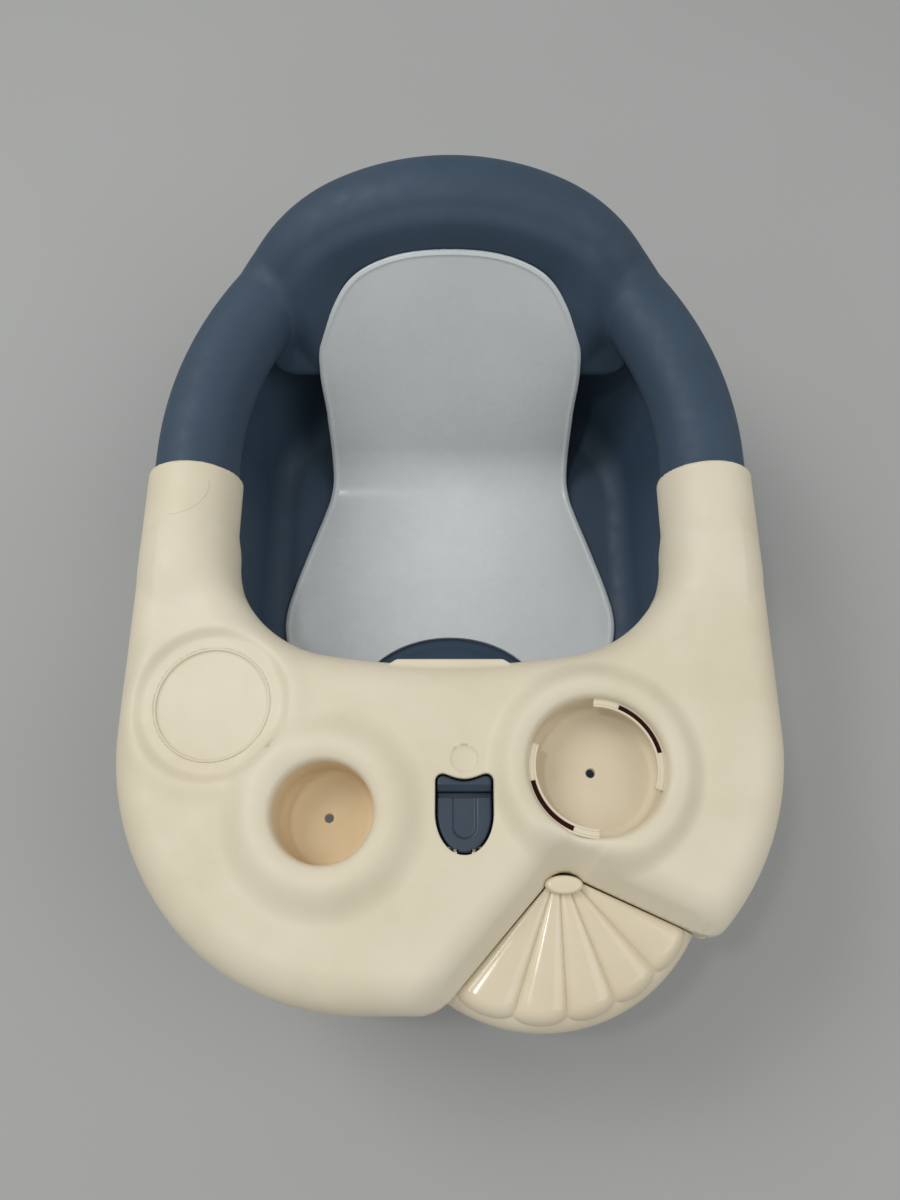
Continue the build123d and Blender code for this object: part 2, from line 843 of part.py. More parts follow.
# The spring is wound so closely that its turns touch, which leaves a sleeve with ridges
with BuildPart() as latch_spring:
    with BuildSketch(Plane.XZ.offset(-pin_y)):
        with BuildLine():
            coil_start = latch_x - coil_turns * coil_pitch / 2
            ridges = [(coil_start, coil_radius)]
            for turn in range(coil_turns):
                ridges.append((coil_start + (turn + 0.5) * coil_pitch, coil_radius + coil_wire))
                ridges.append((coil_start + (turn + 1) * coil_pitch, coil_radius))
            inner = [(x, pin_radius + pin_gap) for x in (ridges[-1][0], coil_start)]
            Polyline(*[(x, pin_z + r) for x, r in ridges + inner], close=True)
        make_face()
    revolve(axis=Axis((latch_x, pin_y, pin_z), (1, 0, 0)))

latch_spring.part.label = "latch_spring"
export_step(latch_spring.part, "parts/latch_spring.step")


# Play tray: a shell open underneath, with sleeves for the arms, two wells and a shell ornament


front_corner = TangentArc(
    (tray_half_width, tray_side_end_y), (tray_corner_x, tray_corner_y), tangent=(0, -1)
)
front_sweep = TangentArc(
    (tray_corner_x, tray_corner_y), (tray_front_x, tray_front_y), tangent=front_corner % 1
)
cut_corner = TangentArc(
    (cutout_half_width, cutout_side_y), (cutout_corner_x, cutout_corner_y), tangent=(0, -1)
)


def shifted_end(curve, shift):
    """The curve's end point, moved by shift square to the curve, to the left of its way."""
    way = curve % 1
    return (curve @ 1) + Vector(way.Y, -way.X, 0) * shift


def tray_plan(inset):
    """The tray's outline from above, drawn inwards by inset: a right half and its mirror."""
    side_x = tray_half_width - inset
    cut_x = cutout_half_width + inset
    wing_y = tray_wing_rear_y - inset
    with BuildSketch(mode=Mode.PRIVATE) as plan:
        with BuildLine():
            Line((side_x, wing_y), (side_x, tray_side_end_y))
            corner = TangentArc(
                (side_x, tray_side_end_y), shifted_end(front_corner, inset), tangent=(0, -1)
            )
            front = TangentArc(
                corner @ 1, shifted_end(front_sweep, inset), tangent=front_corner % 1
            )
            Polyline(front @ 1, (0, tray_front_y + inset), (0, cutout_bottom_y - inset))
            Line((cut_x, wing_y), (cut_x, cutout_side_y))
            cut_arc = TangentArc(
                (cut_x, cutout_side_y), shifted_end(cut_corner, -inset), tangent=(0, -1)
            )
            Spline(
                cut_arc @ 1,
                (0, cutout_bottom_y - inset),
                tangents=(cut_corner % 1, (-1, 0)),
            )
            Line((cut_x, wing_y), (side_x, wing_y))
        make_face()
        mirror(about=Plane.YZ)
    return plan.sketch


def tray_form(inset, bottom_z):
    """The tray's rounded form, inset on its sides and top, down to bottom_z."""
    with BuildPart(mode=Mode.PRIVATE) as form:
        with BuildSketch(Plane.XY.offset(bottom_z)):
            add(tray_plan(inset))
        extrude(amount=tray_top_z - inset - bottom_z)
        top_face = form.faces().sort_by(Axis.Z)[-1]
        wing_ends = top_face.edges().filter_by(Axis.X).group_by(Axis.Y)[-1]
        rounded = [edge for edge in top_face.edges() if edge not in wing_ends]
        fillet(rounded, tray_edge_round - inset)
    return form.part


def fan_plan(grow):
    """The shell ornament's outline: two straight sides from its hinge, a rounded fan between them."""
    with BuildSketch(mode=Mode.PRIVATE) as plan:
        with BuildLine():
            left_side = Line(fan_left, (fan_apex[0] - fan_knob_x, fan_apex[1] - 2))
            right_side = Line((fan_apex[0] + fan_knob_x, fan_apex[1] + 1), fan_right)
            ThreePointArc(left_side @ 1, (fan_apex[0], fan_apex[1] + fan_knob_y), right_side @ 0)
            ThreePointArc(
                right_side @ 1,
                (fan_centre[0] + 2, fan_centre[1] - fan_radius),
                left_side @ 0,
            )
        make_face()
        if grow != 0:
            offset(amount=grow)
    return plan.sketch


def flute_way(angle):
    """The direction from the ornament's hinge along a flute, level."""
    return Vector(math.cos(math.radians(angle)), math.sin(math.radians(angle)), 0)


fan_hinge = Vector(fan_apex[0], fan_apex[1], 0)
flute_ways = [flute_way(flute_first_angle + flute_step_angle * i) for i in range(flute_count)]
fan_screw_points = [fan_hinge + flute_ways[i] * fan_screw_reach for i in (1, 3)]
fan_screw_places = [(point.X, point.Y) for point in fan_screw_points]


def tray_hollow():
    """The space inside the tray, which leaves a wall under its top and round the ornament's notch."""
    with BuildPart(mode=Mode.PRIVATE) as space:
        add(tray_form(tray_wall, tray_bottom_z - tray_hollow_drop))
        with BuildSketch(Plane.XY.offset(tray_bottom_z - tray_hollow_drop - past)):
            add(fan_plan(fan_gap + tray_wall))
        extrude(amount=beyond, mode=Mode.SUBTRACT)
        with BuildSketch(Plane.XY.offset(tray_top_z - fan_shoulder - tray_wall)):
            add(fan_plan(fan_gap + tray_wall))
        extrude(amount=fan_shoulder + 3, taper=-fan_shoulder_slope, mode=Mode.SUBTRACT)
    return space.part


def well(centre, radius, crest, foot, floor_z):
    """A cup let into the tray's top, with a raised rim that rounds over into it."""
    top = tray_top_z
    with BuildPart(mode=Mode.PRIVATE) as cup:
        with BuildSketch(Plane.XZ):
            with BuildLine():
                rise = ThreePointArc(
                    (foot, top),
                    (mix(foot, crest, 0.5), top + rim_height * 0.36),
                    (crest + rim_round, top + rim_height - rim_round * 0.4),
                )
                over = ThreePointArc(
                    rise @ 1,
                    (crest - rim_round * 0.3, top + rim_height),
                    (radius, top + rim_height * 0.35),
                )
                Polyline(
                    over @ 1,
                    (radius, floor_z),
                    (0, floor_z),
                    (0, floor_z - well_wall),
                    (radius + well_wall, floor_z - well_wall),
                    (radius + well_wall, top - tray_wall),
                    (foot, top - tray_wall),
                    (foot, top),
                )
            make_face()
        revolve(axis=Axis.Z)
    return Pos(centre[0], centre[1], 0) * cup.part


with BuildPart() as tray:
    add(tray_form(0, tray_bottom_z))
    # The notch that the shell ornament sits in, with a sloped shoulder
    with BuildSketch(Plane.XY.offset(fan_shelf_z)):
        add(fan_plan(fan_gap))
    extrude(amount=beyond, mode=Mode.SUBTRACT)
    with BuildSketch(Plane.XY.offset(tray_top_z - fan_shoulder)):
        add(fan_plan(fan_gap))
    extrude(amount=fan_shoulder + 3, taper=-fan_shoulder_slope, mode=Mode.SUBTRACT)
    add(tray_hollow(), mode=Mode.SUBTRACT)
    # Round sleeves that slide over the arms, sunk into the tray's wings by a domed nose
    for grow, mode in ((slide_gap + sleeve_wall, Mode.ADD), (slide_gap, Mode.SUBTRACT)):
        with BuildSketch(Plane.XZ.offset(-sleeve_rear_y)):
            with Locations((arm_x, arm_z), (-arm_x, arm_z)):
                Circle(arm_radius + grow)
        extrude(amount=sleeve_rear_y - sleeve_dome_y, mode=mode)
        with Locations((arm_x, sleeve_dome_y, arm_z), (-arm_x, sleeve_dome_y, arm_z)):
            Sphere(arm_radius + grow, rotation=(90, 0, 0), mode=mode)
    # Wells
    for centre, foot in ((left_well, left_well_foot), (right_well, right_well_foot)):
        with BuildSketch(Plane.XY.offset(tray_top_z + past)):
            with Locations(centre):
                Circle(foot - well_seat)
        extrude(amount=-tray_wall - 2 * past, mode=Mode.SUBTRACT)
    add(well(left_well, left_well_radius, left_well_crest, left_well_foot, left_well_floor_z))
    add(well(right_well, right_well_radius, right_well_crest, right_well_foot, right_well_floor_z))
    with BuildSketch(Plane.XY.offset(tray_top_z)):
        with Locations(left_well, right_well):
            Circle(well_drain_radius)
    extrude(amount=-beyond, mode=Mode.SUBTRACT)
    # Two ledges in the right well that a twist-in toy locks under, each with a slot along it
    ledge_top_z = tray_top_z + rim_height - ledge_drop
    for turn in (ledge_start, ledge_start + 180):
        with BuildSketch(Plane.XY.offset(ledge_top_z)):
            with BuildLine():
                outer_arc = CenterArc(right_well, right_well_radius + sunk, turn, ledge_angle)
                inner_arc = CenterArc(
                    right_well,
                    ledge_inner_radius,
                    turn + ledge_end_slope,
                    ledge_angle - 2 * ledge_end_slope,
                )
                Line(outer_arc @ 0, inner_arc @ 0)
                Line(outer_arc @ 1, inner_arc @ 1)
            make_face()
            with BuildLine():
                slot_line = CenterArc(
                    right_well, ledge_slot_radius, turn + ledge_slot_start, ledge_slot_angle
                )
            SlotArc(slot_line, ledge_slot_width, mode=Mode.SUBTRACT)
        extrude(amount=-ledge_thickness)
    # Shallow round recess with a raised bead
    with BuildSketch(Plane.XY.offset(tray_top_z)):
        with Locations(recess_centre):
            Circle(recess_radius + recess_bead)
    extrude(amount=recess_bead_height)
    with BuildSketch(Plane.XY.offset(tray_top_z + recess_bead_height)):
        with Locations(recess_centre):
            Circle(recess_radius)
    extrude(amount=-recess_depth - recess_bead_height, mode=Mode.SUBTRACT)
    # The slot in the rear edge that the post passes, and the mouth of the tongue's socket above it
    with BuildSketch(Plane.XY.offset(tray_bottom_z - 1)):
        with Locations((0, mouth_front_y)):
            Rectangle(
                2 * slot_half_width,
                mouth_rear_y - mouth_front_y + past,
                align=(Align.CENTER, Align.MIN),
            )
    extrude(amount=post_top_z - tray_bottom_z + 1, mode=Mode.SUBTRACT)
    with BuildSketch(Plane.XY.offset(post_top_z)):
        with BuildLine():
            Polyline(
                (-mouth_half_width - mouth_end_slope, mouth_front_y),
                (-mouth_half_width - mouth_end_slope, mouth_rear_y - mouth_corner),
                (-mouth_half_width, mouth_rear_y),
                (mouth_half_width, mouth_rear_y),
                (mouth_half_width + mouth_end_slope, mouth_rear_y - mouth_corner),
                (mouth_half_width + mouth_end_slope, mouth_front_y),
                close=True,
            )
        make_face()
    extrude(amount=tongue_top_z + mouth_rise - post_top_z)
    # Guides and floor of the socket, and the wall that the tongue stops against
    guide_inner = tongue_half_width + slide_gap
    guide_middle_y = (mouth_front_y + tongue_front_y) / 2
    with BuildSketch(Plane.XY.offset(post_top_z - socket_floor)):
        for side in (-1, 1):
            with Locations((side * (guide_inner + guide_wall / 2), guide_middle_y)):
                Rectangle(guide_wall, mouth_front_y - tongue_front_y + 2 * past)
        with Locations((0, tongue_front_y - slide_gap - guide_wall / 2)):
            Rectangle(2 * (guide_inner + guide_wall), guide_wall)
    extrude(amount=tray_top_z - tray_wall - post_top_z + socket_floor + sunk)
    with BuildSketch(Plane.XY.offset(post_top_z - socket_floor)):
        with Locations((0, (tongue_front_y + socket_floor_rear_y) / 2)):
            Rectangle(2 * (guide_inner + sunk), socket_floor_rear_y - tongue_front_y + past)
    extrude(amount=socket_floor - socket_floor_gap)
    with BuildSketch(Plane.XZ.offset(-mouth_rear_y - past)):
        with Locations((0, (tongue_bottom_z + tongue_top_z) / 2)):
            Rectangle(2 * guide_inner, tongue_thickness + 2 * slide_gap)
    extrude(amount=mouth_cut_length, mode=Mode.SUBTRACT)
    # Opening for the lever, with two ears that carry its pin
    with BuildSketch(Plane.XY.offset(tray_top_z + 5)):
        add(lever_plan(latch_hole_gap))
    extrude(amount=-tray_wall - 7, mode=Mode.SUBTRACT)
    for side in (-1, 1):
        with BuildSketch(Plane.YZ.offset(latch_x + side * ear_offset - ear_width / 2)):
            with Locations((pin_y, pin_z)):
                Circle(ear_radius)
            with BuildLine():
                Polyline(
                    (pin_y - ear_radius, pin_z),
                    (pin_y - ear_radius, tray_top_z - tray_wall + sunk),
                    (ear_front_y, tray_top_z - tray_wall + sunk),
                    (ear_front_y, pin_z - ear_radius),
                    (pin_y, pin_z - ear_radius),
                    (pin_y, pin_z),
                    close=True,
                )
            make_face()
            with Locations((pin_y, pin_z)):
                Circle(pin_radius + pin_gap, mode=Mode.SUBTRACT)
        extrude(amount=ear_width)
    with Locations((latch_x, finger_dish_y, tray_top_z + finger_dish_sphere - finger_dish_depth)):
        Sphere(finger_dish_sphere, rotation=(90, 0, 0), mode=Mode.SUBTRACT)

    # Screws up through the ornament's shelf
    with BuildSketch(Plane.XY.offset(tray_bottom_z)):
        with Locations(*fan_screw_places):
            Circle(screw_head_radius + seat_gap)
    extrude(amount=fan_screw_sink, mode=Mode.SUBTRACT)
    with BuildSketch(Plane.XY.offset(tray_bottom_z)):
        with Locations(*fan_screw_places):
            Circle(screw_radius + screw_gap)
    extrude(amount=fan_shelf_z - tray_bottom_z, mode=Mode.SUBTRACT)

tray.part.label = "tray"
export_step(tray.part, "parts/tray.step")


# Scallop shell ornament, screwed to its shelf in the tray


def flutes(inset):
    """Five cones that fan out from the hinge, drawn inwards by inset."""
    with BuildPart(mode=Mode.PRIVATE) as made:
        for way in flute_ways:
            start = fan_hinge + Vector(0, 0, fan_top_z - flute_small_radius)
            end = fan_hinge + way * flute_length + Vector(0, 0, flute_end_z - flute_large_radius)
            with BuildSketch(Plane(origin=start, x_dir=(0, 0, 1), z_dir=way)) as small:
                Circle(flute_small_radius - inset)
            with BuildSketch(Plane(origin=end, x_dir=(0, 0, 1), z_dir=way)) as large:
                Circle(flute_large_radius - inset)
            loft([small.sketch, large.sketch])
    return made.part


fan_floor_z = fan_shelf_z + seat_gap

with BuildPart() as fan_shell:
    add(flutes(0))
    with BuildSketch(Plane.XY.offset(fan_floor_z)):
        add(fan_plan(0))
    extrude(amount=fan_base)
    with BuildSketch(Plane.XY.offset(fan_floor_z)):
        add(fan_plan(0))
    extrude(amount=beyond, mode=Mode.INTERSECT)
    # The flutes fall away in a round towards the rim
    with BuildSketch(Plane.XZ.offset(-fan_centre[1])):
        with BuildLine():
            fall = Spline(
                (fan_centre[0], fan_dome_z),
                (fan_centre[0] + fan_radius - fan_rim_round, flute_end_z - 1),
                (fan_centre[0] + fan_radius, fan_rim_z),
                tangents=((1, -0.05), (0.25, -1)),
            )
            Polyline(
                fall @ 1,
                (fan_centre[0] + fan_radius + 3, fan_rim_z - 2),
                (fan_centre[0] + fan_radius + 3, fan_floor_z - 1),
                (fan_centre[0], fan_floor_z - 1),
                fall @ 0,
            )
        make_face()
    revolve(axis=Axis((fan_centre[0], fan_centre[1], 0), (0, 0, 1)), mode=Mode.INTERSECT)
    # Knob over the hinge
    with BuildSketch(Plane.XY.offset(fan_floor_z)):
        with Locations((fan_apex[0], fan_apex[1] - fan_knob_shift)):
            Ellipse(fan_knob_x - fan_knob_shift, fan_knob_y - fan_knob_shift)
    extrude(amount=fan_knob_z - fan_floor_z)
    knob_rim = fan_shell.faces().sort_by(Axis.Z)[-1].edges()
    fillet(knob_rim, fan_knob_round)
    # Hollow underneath, with two bosses for the screws
    with BuildPart(mode=Mode.PRIVATE) as fan_hollow:
        add(flutes(fan_wall))
        with BuildSketch(Plane.XY.offset(fan_floor_z - past)):
            add(fan_plan(-fan_rim_wall))
        extrude(amount=beyond, mode=Mode.INTERSECT)
        with BuildSketch(Plane.XY.offset(fan_floor_z - past)):
            with Locations(fan_centre):
                Circle(fan_hollow_radius)
        extrude(amount=beyond, mode=Mode.INTERSECT)
    add(fan_hollow.part, mode=Mode.SUBTRACT)
    with BuildSketch(Plane.XY.offset(fan_floor_z)):
        with Locations(*fan_screw_places):
            Circle(boss_radius)
    extrude(amount=fan_boss_top_z - fan_floor_z)
    with BuildSketch(Plane.XY.offset(fan_floor_z)):
        with Locations(*fan_screw_places):
            Circle(screw_radius + screw_gap)
    extrude(amount=screw_length - 1, mode=Mode.SUBTRACT)

fan_shell.part.label = "fan_shell"
export_step(fan_shell.part, "parts/fan_shell.step")

with BuildPart() as fan_screws:
    for x, y in fan_screw_places:
        add(screw((0, 0, 1), (x, y, tray_bottom_z + fan_screw_sink), screw_length))

fan_screws.part.label = "fan_screws"
export_step(fan_screws.part, "parts/fan_screws.step")
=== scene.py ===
# %% A baby's bath seat with a play tray
import math

import bpy
import numpy as np
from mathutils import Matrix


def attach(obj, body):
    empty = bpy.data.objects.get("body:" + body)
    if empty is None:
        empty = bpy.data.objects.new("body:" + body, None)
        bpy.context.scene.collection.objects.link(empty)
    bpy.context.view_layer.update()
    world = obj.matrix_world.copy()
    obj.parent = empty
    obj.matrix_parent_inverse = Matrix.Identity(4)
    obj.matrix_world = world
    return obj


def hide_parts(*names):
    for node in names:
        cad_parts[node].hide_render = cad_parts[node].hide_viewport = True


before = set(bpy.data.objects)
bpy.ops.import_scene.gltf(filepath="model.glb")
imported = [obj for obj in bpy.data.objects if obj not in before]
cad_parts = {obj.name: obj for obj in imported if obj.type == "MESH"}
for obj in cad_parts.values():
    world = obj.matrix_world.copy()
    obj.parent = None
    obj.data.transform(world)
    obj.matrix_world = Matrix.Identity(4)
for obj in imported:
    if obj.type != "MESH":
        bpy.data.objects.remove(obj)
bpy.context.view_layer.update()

# %% [markdown]
# Every size below is in millimetres, in the frame that the engineering model gave: +X right,
# +Y towards the backrest, +Z up, and the suction cups stand on Z = 0. Only the last step, which
# writes a mesh, turns millimetres into Blender's metres.

# %% Small helpers for meshes
MM = 0.001


def plain_mesh(name, points, faces):
    """A mesh of points and of faces that all have the same number of corners."""
    mesh = bpy.data.meshes.new(name)
    mesh.vertices.add(len(points))
    mesh.vertices.foreach_set("co", np.asarray(points, np.float32).ravel())
    faces = np.asarray(faces, np.int32)
    mesh.loops.add(faces.size)
    mesh.loops.foreach_set("vertex_index", faces.ravel())
    mesh.polygons.add(len(faces))
    mesh.polygons.foreach_set("loop_start", np.arange(0, faces.size, faces.shape[1], dtype=np.int32))
    mesh.update(calc_edges=True)
    mesh.validate()
    return mesh


def add_mesh(name, points, faces, body, material, normals=None, stands_for=()):
    """A smooth shaded mesh object from points in millimetres."""
    mesh = plain_mesh(name, np.asarray(points, float) * MM, faces)
    mesh.polygons.foreach_set("use_smooth", np.ones(len(mesh.polygons), bool))
    if normals is not None:
        mesh.normals_split_custom_set_from_vertices(normals.astype(np.float32))
    piece = bpy.data.objects.new(name, mesh)
    bpy.context.scene.collection.objects.link(piece)
    piece.data.materials.append(material)
    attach(piece, body)
    if stands_for:
        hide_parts(*stands_for)
    print(f"{name}: {len(points)} points, {len(faces) * (len(faces[0]) - 2)} triangles")
    return piece


def grid_faces(rows, columns, close_rows=False, close_columns=False):
    """Faces of a grid of points stored row by row; a closed direction joins its last to its first."""
    i = np.arange(rows if close_rows else rows - 1)[:, None]
    j = np.arange(columns if close_columns else columns - 1)[None, :]
    a = i * columns + j
    b = i * columns + (j + 1) % columns
    c = ((i + 1) % rows) * columns + (j + 1) % columns
    d = ((i + 1) % rows) * columns + j
    return np.stack([a, b, c, d], -1).reshape(-1, 4)


# %% [markdown]
# Colours are written as on a screen, in sRGB hex, and one function turns them into the linear
# values that Blender's shaders work in. A second small function adds a node, sets its sockets
# and joins its links, so that each material below reads as a list of steps.

# %% Colour and nodes


def linear(hex_colour):
    """Linear RGBA of an sRGB hex colour: ((c + 0.055) / 1.055) ** 2.4 above the dark end."""
    c = np.array([int(hex_colour[i:i + 2], 16) / 255 for i in (0, 2, 4)])
    c = np.where(c <= 0.04045, c / 12.92, ((c + 0.055) / 1.055) ** 2.4)
    return (*c.tolist(), 1.0)


def new_material(name):
    """An empty material: its node tree, its surface shader and a texture coordinate node."""
    material = bpy.data.materials.new(name)
    material.use_nodes = True
    tree = material.node_tree
    shader = tree.nodes["Principled BSDF"]
    place = tree.nodes.new("ShaderNodeTexCoord")
    return material, tree, shader, place


def node(tree, kind, settings=None, sockets=None, links=None):
    """Adds a node; settings are its properties, sockets its values, links its incoming outputs."""
    made = tree.nodes.new(kind)
    for key, value in (settings or {}).items():
        setattr(made, key, value)
    for key, value in (sockets or {}).items():
        made.inputs[key].default_value = value
    for key, output in (links or {}).items():
        tree.links.new(output, made.inputs[key])
    return made


# %% [markdown]
# The seat and the tray are moulded polypropylene. The mould's surface is finely blasted, so the
# plastic is matte with a soft, wide highlight. The texture's grains are about 0.3 mm, too fine to
# show here, so they are drawn at about 0.8 mm. A slow change of tone over some centimetres keeps
# the large faces from looking like flat paint, as rubbing and dried soap do on the real one.

# %% Moulded polypropylene


def moulded_plastic(name, colour, dull, worn, grain_mm, grain_depth, roughness, patch_mm=70.0):
    """Matte moulded plastic: base colour with slow patches of dull and worn tone, grain as bump."""
    material, tree, shader, place = new_material(name)
    where = place.outputs["Object"]
    patches = node(tree, "ShaderNodeTexNoise", {"noise_dimensions": "3D"},
                   {"Scale": 1000 / patch_mm, "Detail": 4.0, "Roughness": 0.55}, {"Vector": where})
    tone = node(tree, "ShaderNodeValToRGB", links={"Fac": patches.outputs["Fac"]})
    tone.color_ramp.elements[0].position = 0.3
    tone.color_ramp.elements[0].color = linear(dull)
    tone.color_ramp.elements[1].position = 0.7
    tone.color_ramp.elements[1].color = linear(worn)
    middle = tone.color_ramp.elements.new(0.5)
    middle.color = linear(colour)
    grain = node(tree, "ShaderNodeTexNoise", {"noise_dimensions": "3D"},
                 {"Scale": 1000 / grain_mm, "Detail": 2.0, "Roughness": 0.6}, {"Vector": where})
    speckle = node(tree, "ShaderNodeTexNoise", {"noise_dimensions": "3D"},
                   {"Scale": 1000 / 9.0, "Detail": 1.0}, {"Vector": where})
    rough = node(tree, "ShaderNodeMapRange", sockets={
        "From Min": 0.3, "From Max": 0.7, "To Min": roughness - 0.05, "To Max": roughness + 0.06},
        links={"Value": speckle.outputs["Fac"]})
    bump = node(tree, "ShaderNodeBump", sockets={"Strength": 1.0, "Distance": grain_depth * MM},
                links={"Height": grain.outputs["Fac"]})
    tree.links.new(tone.outputs["Color"], shader.inputs["Base Color"])
    tree.links.new(rough.outputs["Result"], shader.inputs["Roughness"])
    tree.links.new(bump.outputs["Normal"], shader.inputs["Normal"])
    shader.inputs["IOR"].default_value = 1.49
    return material, tree, shader, place


cream, cream_tree, cream_shader, cream_place = moulded_plastic(
    "blasted cream polypropylene", "DBD1B8", "D5CAAF", "DED5BE", 0.8, 0.02, 0.52)
navy, *_ = moulded_plastic(
    "blasted slate blue polypropylene", "2F4355", "2C4051", "324659", 0.8, 0.015, 0.6)
slate, *_ = moulded_plastic(
    "slate blue ABS of the latch", "2A3A49", "273645", "2E3F4F", 0.8, 0.008, 0.4)

# %% [markdown]
# Deep in the two wells the plastic looks warmer, because light reaches there through the wall
# and after several bounces. The cream's tone is therefore mixed with a warmer one inside each
# well: the mask is the distance from the well's axis, and fades out towards the rim.

# %% Warm tone inside the wells
LEFT_WELL = dict(x=-67.7, y=-151.3, radius=27.0, crest=37.0, foot=54.0, floor=147.0)
RIGHT_WELL = dict(x=79.1, y=-127.2, radius=37.2, crest=45.0, foot=57.0, floor=153.0)
WARM_FROM_Z, WARM_FULL_Z = 181.0, 165.0
cream_tone = cream_shader.inputs["Base Color"].links[0].from_socket
split = node(cream_tree, "ShaderNodeSeparateXYZ", links={"Vector": cream_place.outputs["Object"]})
level = node(cream_tree, "ShaderNodeCombineXYZ", links={"X": split.outputs["X"], "Y": split.outputs["Y"]})
for well, strength in ((LEFT_WELL, 0.65), (RIGHT_WELL, 0.15)):
    reach = node(cream_tree, "ShaderNodeVectorMath", {"operation": "DISTANCE"},
                 {1: (well["x"] * MM, well["y"] * MM, 0.0)}, {0: level.outputs["Vector"]})
    inside = node(cream_tree, "ShaderNodeMapRange", {"interpolation_type": "SMOOTHSTEP"},
                  {"From Min": (well["radius"] + 3.0) * MM, "From Max": (well["radius"] - 2.0) * MM},
                  {"Value": reach.outputs["Value"]})
    deep = node(cream_tree, "ShaderNodeMapRange", {"interpolation_type": "SMOOTHSTEP"},
                {"From Min": WARM_FROM_Z * MM, "From Max": WARM_FULL_Z * MM, "To Max": strength},
                {"Value": split.outputs["Z"]})
    mask = node(cream_tree, "ShaderNodeMath", {"operation": "MULTIPLY"},
                links={0: inside.outputs["Result"], 1: deep.outputs["Result"]})
    warm = node(cream_tree, "ShaderNodeMix", {"data_type": "RGBA"}, {"B": linear("DDBE8C")},
                {"Factor": mask.outputs["Value"], "A": cream_tone})
    cream_tone = warm.outputs["Result"]

# %% [markdown]
# The tray has been used. A few specks of dirt sit in its texture, and a fine curved scratch
# crosses the left sleeve. The specks are the middles of widely spaced Voronoi cells, and the
# scratch is the places whose distance from one point is within 0.3 mm of 21 mm.

# %% Specks and a scratch
SPECK_SPACING = 21.0
SCRATCH = dict(x=-167.0, y=43.0, radius=21.2, rear=46.0, left=-168.0)
cells = node(cream_tree, "ShaderNodeTexVoronoi", sockets={"Scale": 1000 / SPECK_SPACING},
             links={"Vector": cream_place.outputs["Object"]})
speck = node(cream_tree, "ShaderNodeMapRange", {}, {"From Min": 0.02, "From Max": 0.012, "To Max": 0.5},
             {"Value": cells.outputs["Distance"]})
dirty = node(cream_tree, "ShaderNodeMix", {"data_type": "RGBA"}, {"B": linear("6E6350")},
             {"Factor": speck.outputs["Result"], "A": cream_tone})
bow = node(cream_tree, "ShaderNodeVectorMath", {"operation": "DISTANCE"},
           {1: (SCRATCH["x"] * MM, SCRATCH["y"] * MM, 0.0)}, {0: level.outputs["Vector"]})
off_line = node(cream_tree, "ShaderNodeMath", {"operation": "SUBTRACT"},
                {1: SCRATCH["radius"] * MM}, {0: bow.outputs["Value"]})
width = node(cream_tree, "ShaderNodeMath", {"operation": "ABSOLUTE"},
             links={0: off_line.outputs["Value"]})
line = node(cream_tree, "ShaderNodeMapRange", {}, {"From Min": 0.0005, "From Max": 0.0001, "To Max": 0.35},
            {"Value": width.outputs["Value"]})
front_half = node(cream_tree, "ShaderNodeMath", {"operation": "LESS_THAN"},
                  {1: SCRATCH["rear"] * MM}, {0: split.outputs["Y"]})
right_half = node(cream_tree, "ShaderNodeMath", {"operation": "GREATER_THAN"},
                  {1: SCRATCH["left"] * MM}, {0: split.outputs["X"]})
both = node(cream_tree, "ShaderNodeMath", {"operation": "MULTIPLY"},
            links={0: front_half.outputs["Value"], 1: right_half.outputs["Value"]})
scratch = node(cream_tree, "ShaderNodeMath", {"operation": "MULTIPLY"},
               links={0: line.outputs["Result"], 1: both.outputs["Value"]})
scratched = node(cream_tree, "ShaderNodeMix", {"data_type": "RGBA"}, {"B": linear("A99D82")},
                 {"Factor": scratch.outputs["Value"], "A": dirty.outputs["Result"]})
cream_tree.links.new(scratched.outputs["Result"], cream_shader.inputs["Base Color"])

# %% [markdown]
# The slots beside the ledges look into the closed space behind the well, which lies in deep shade. That
# shade is painted: a nearly black bar lies in each slot.

# %% Painted shade in the slots
slot_painted_shade, _, slot_shader, _ = moulded_plastic(
    "unlit inside of the slots", "2E130D", "260F0A", "361811", 0.8, 0.01, 0.8)
slot_shader.inputs["Specular IOR Level"].default_value = 0.1

# %% [markdown]
# The shell ornament is cream ABS from a polished mould, which gives it sharp window highlights.
# The seat liner is a smooth pale grey panel that shines softly.

# %% Polished plastics
gloss_cream, *_ = moulded_plastic(
    "polished cream ABS", "DBCFB3", "D6C9AC", "DFD4BA", 1.6, 0.004, 0.16)
liner_grey, *_ = moulded_plastic(
    "smooth grey liner", "CED3D4", "CACFD0", "D2D7D8", 2.5, 0.01, 0.26)

# %% [markdown]
# The suction cups are soft clear-grey PVC and the screws, the latch's pin and its spring are
# plain stainless steel. A metal keeps Blender's default IOR.

# %% Soft PVC and stainless steel
cup_pvc, _, cup_shader, _ = moulded_plastic(
    "soft milky PVC", "B9BDBE", "B2B7B9", "C0C4C5", 3.0, 0.01, 0.28)
cup_shader.inputs["Transmission Weight"].default_value = 0.25
cup_shader.inputs["Subsurface Weight"].default_value = 0.2

steel, steel_tree, steel_shader, steel_place = new_material("plain stainless steel")
steel_shader.inputs["Metallic"].default_value = 1.0
steel_shader.inputs["Base Color"].default_value = linear("B4B2AE")
drawn = node(steel_tree, "ShaderNodeTexNoise", sockets={"Scale": 1000 / 0.6, "Detail": 2.0},
             links={"Vector": steel_place.outputs["Object"]})
steel_rough = node(steel_tree, "ShaderNodeMapRange", sockets={"To Min": 0.2, "To Max": 0.38},
                   links={"Value": drawn.outputs["Fac"]})
steel_tree.links.new(steel_rough.outputs["Result"], steel_shader.inputs["Roughness"])

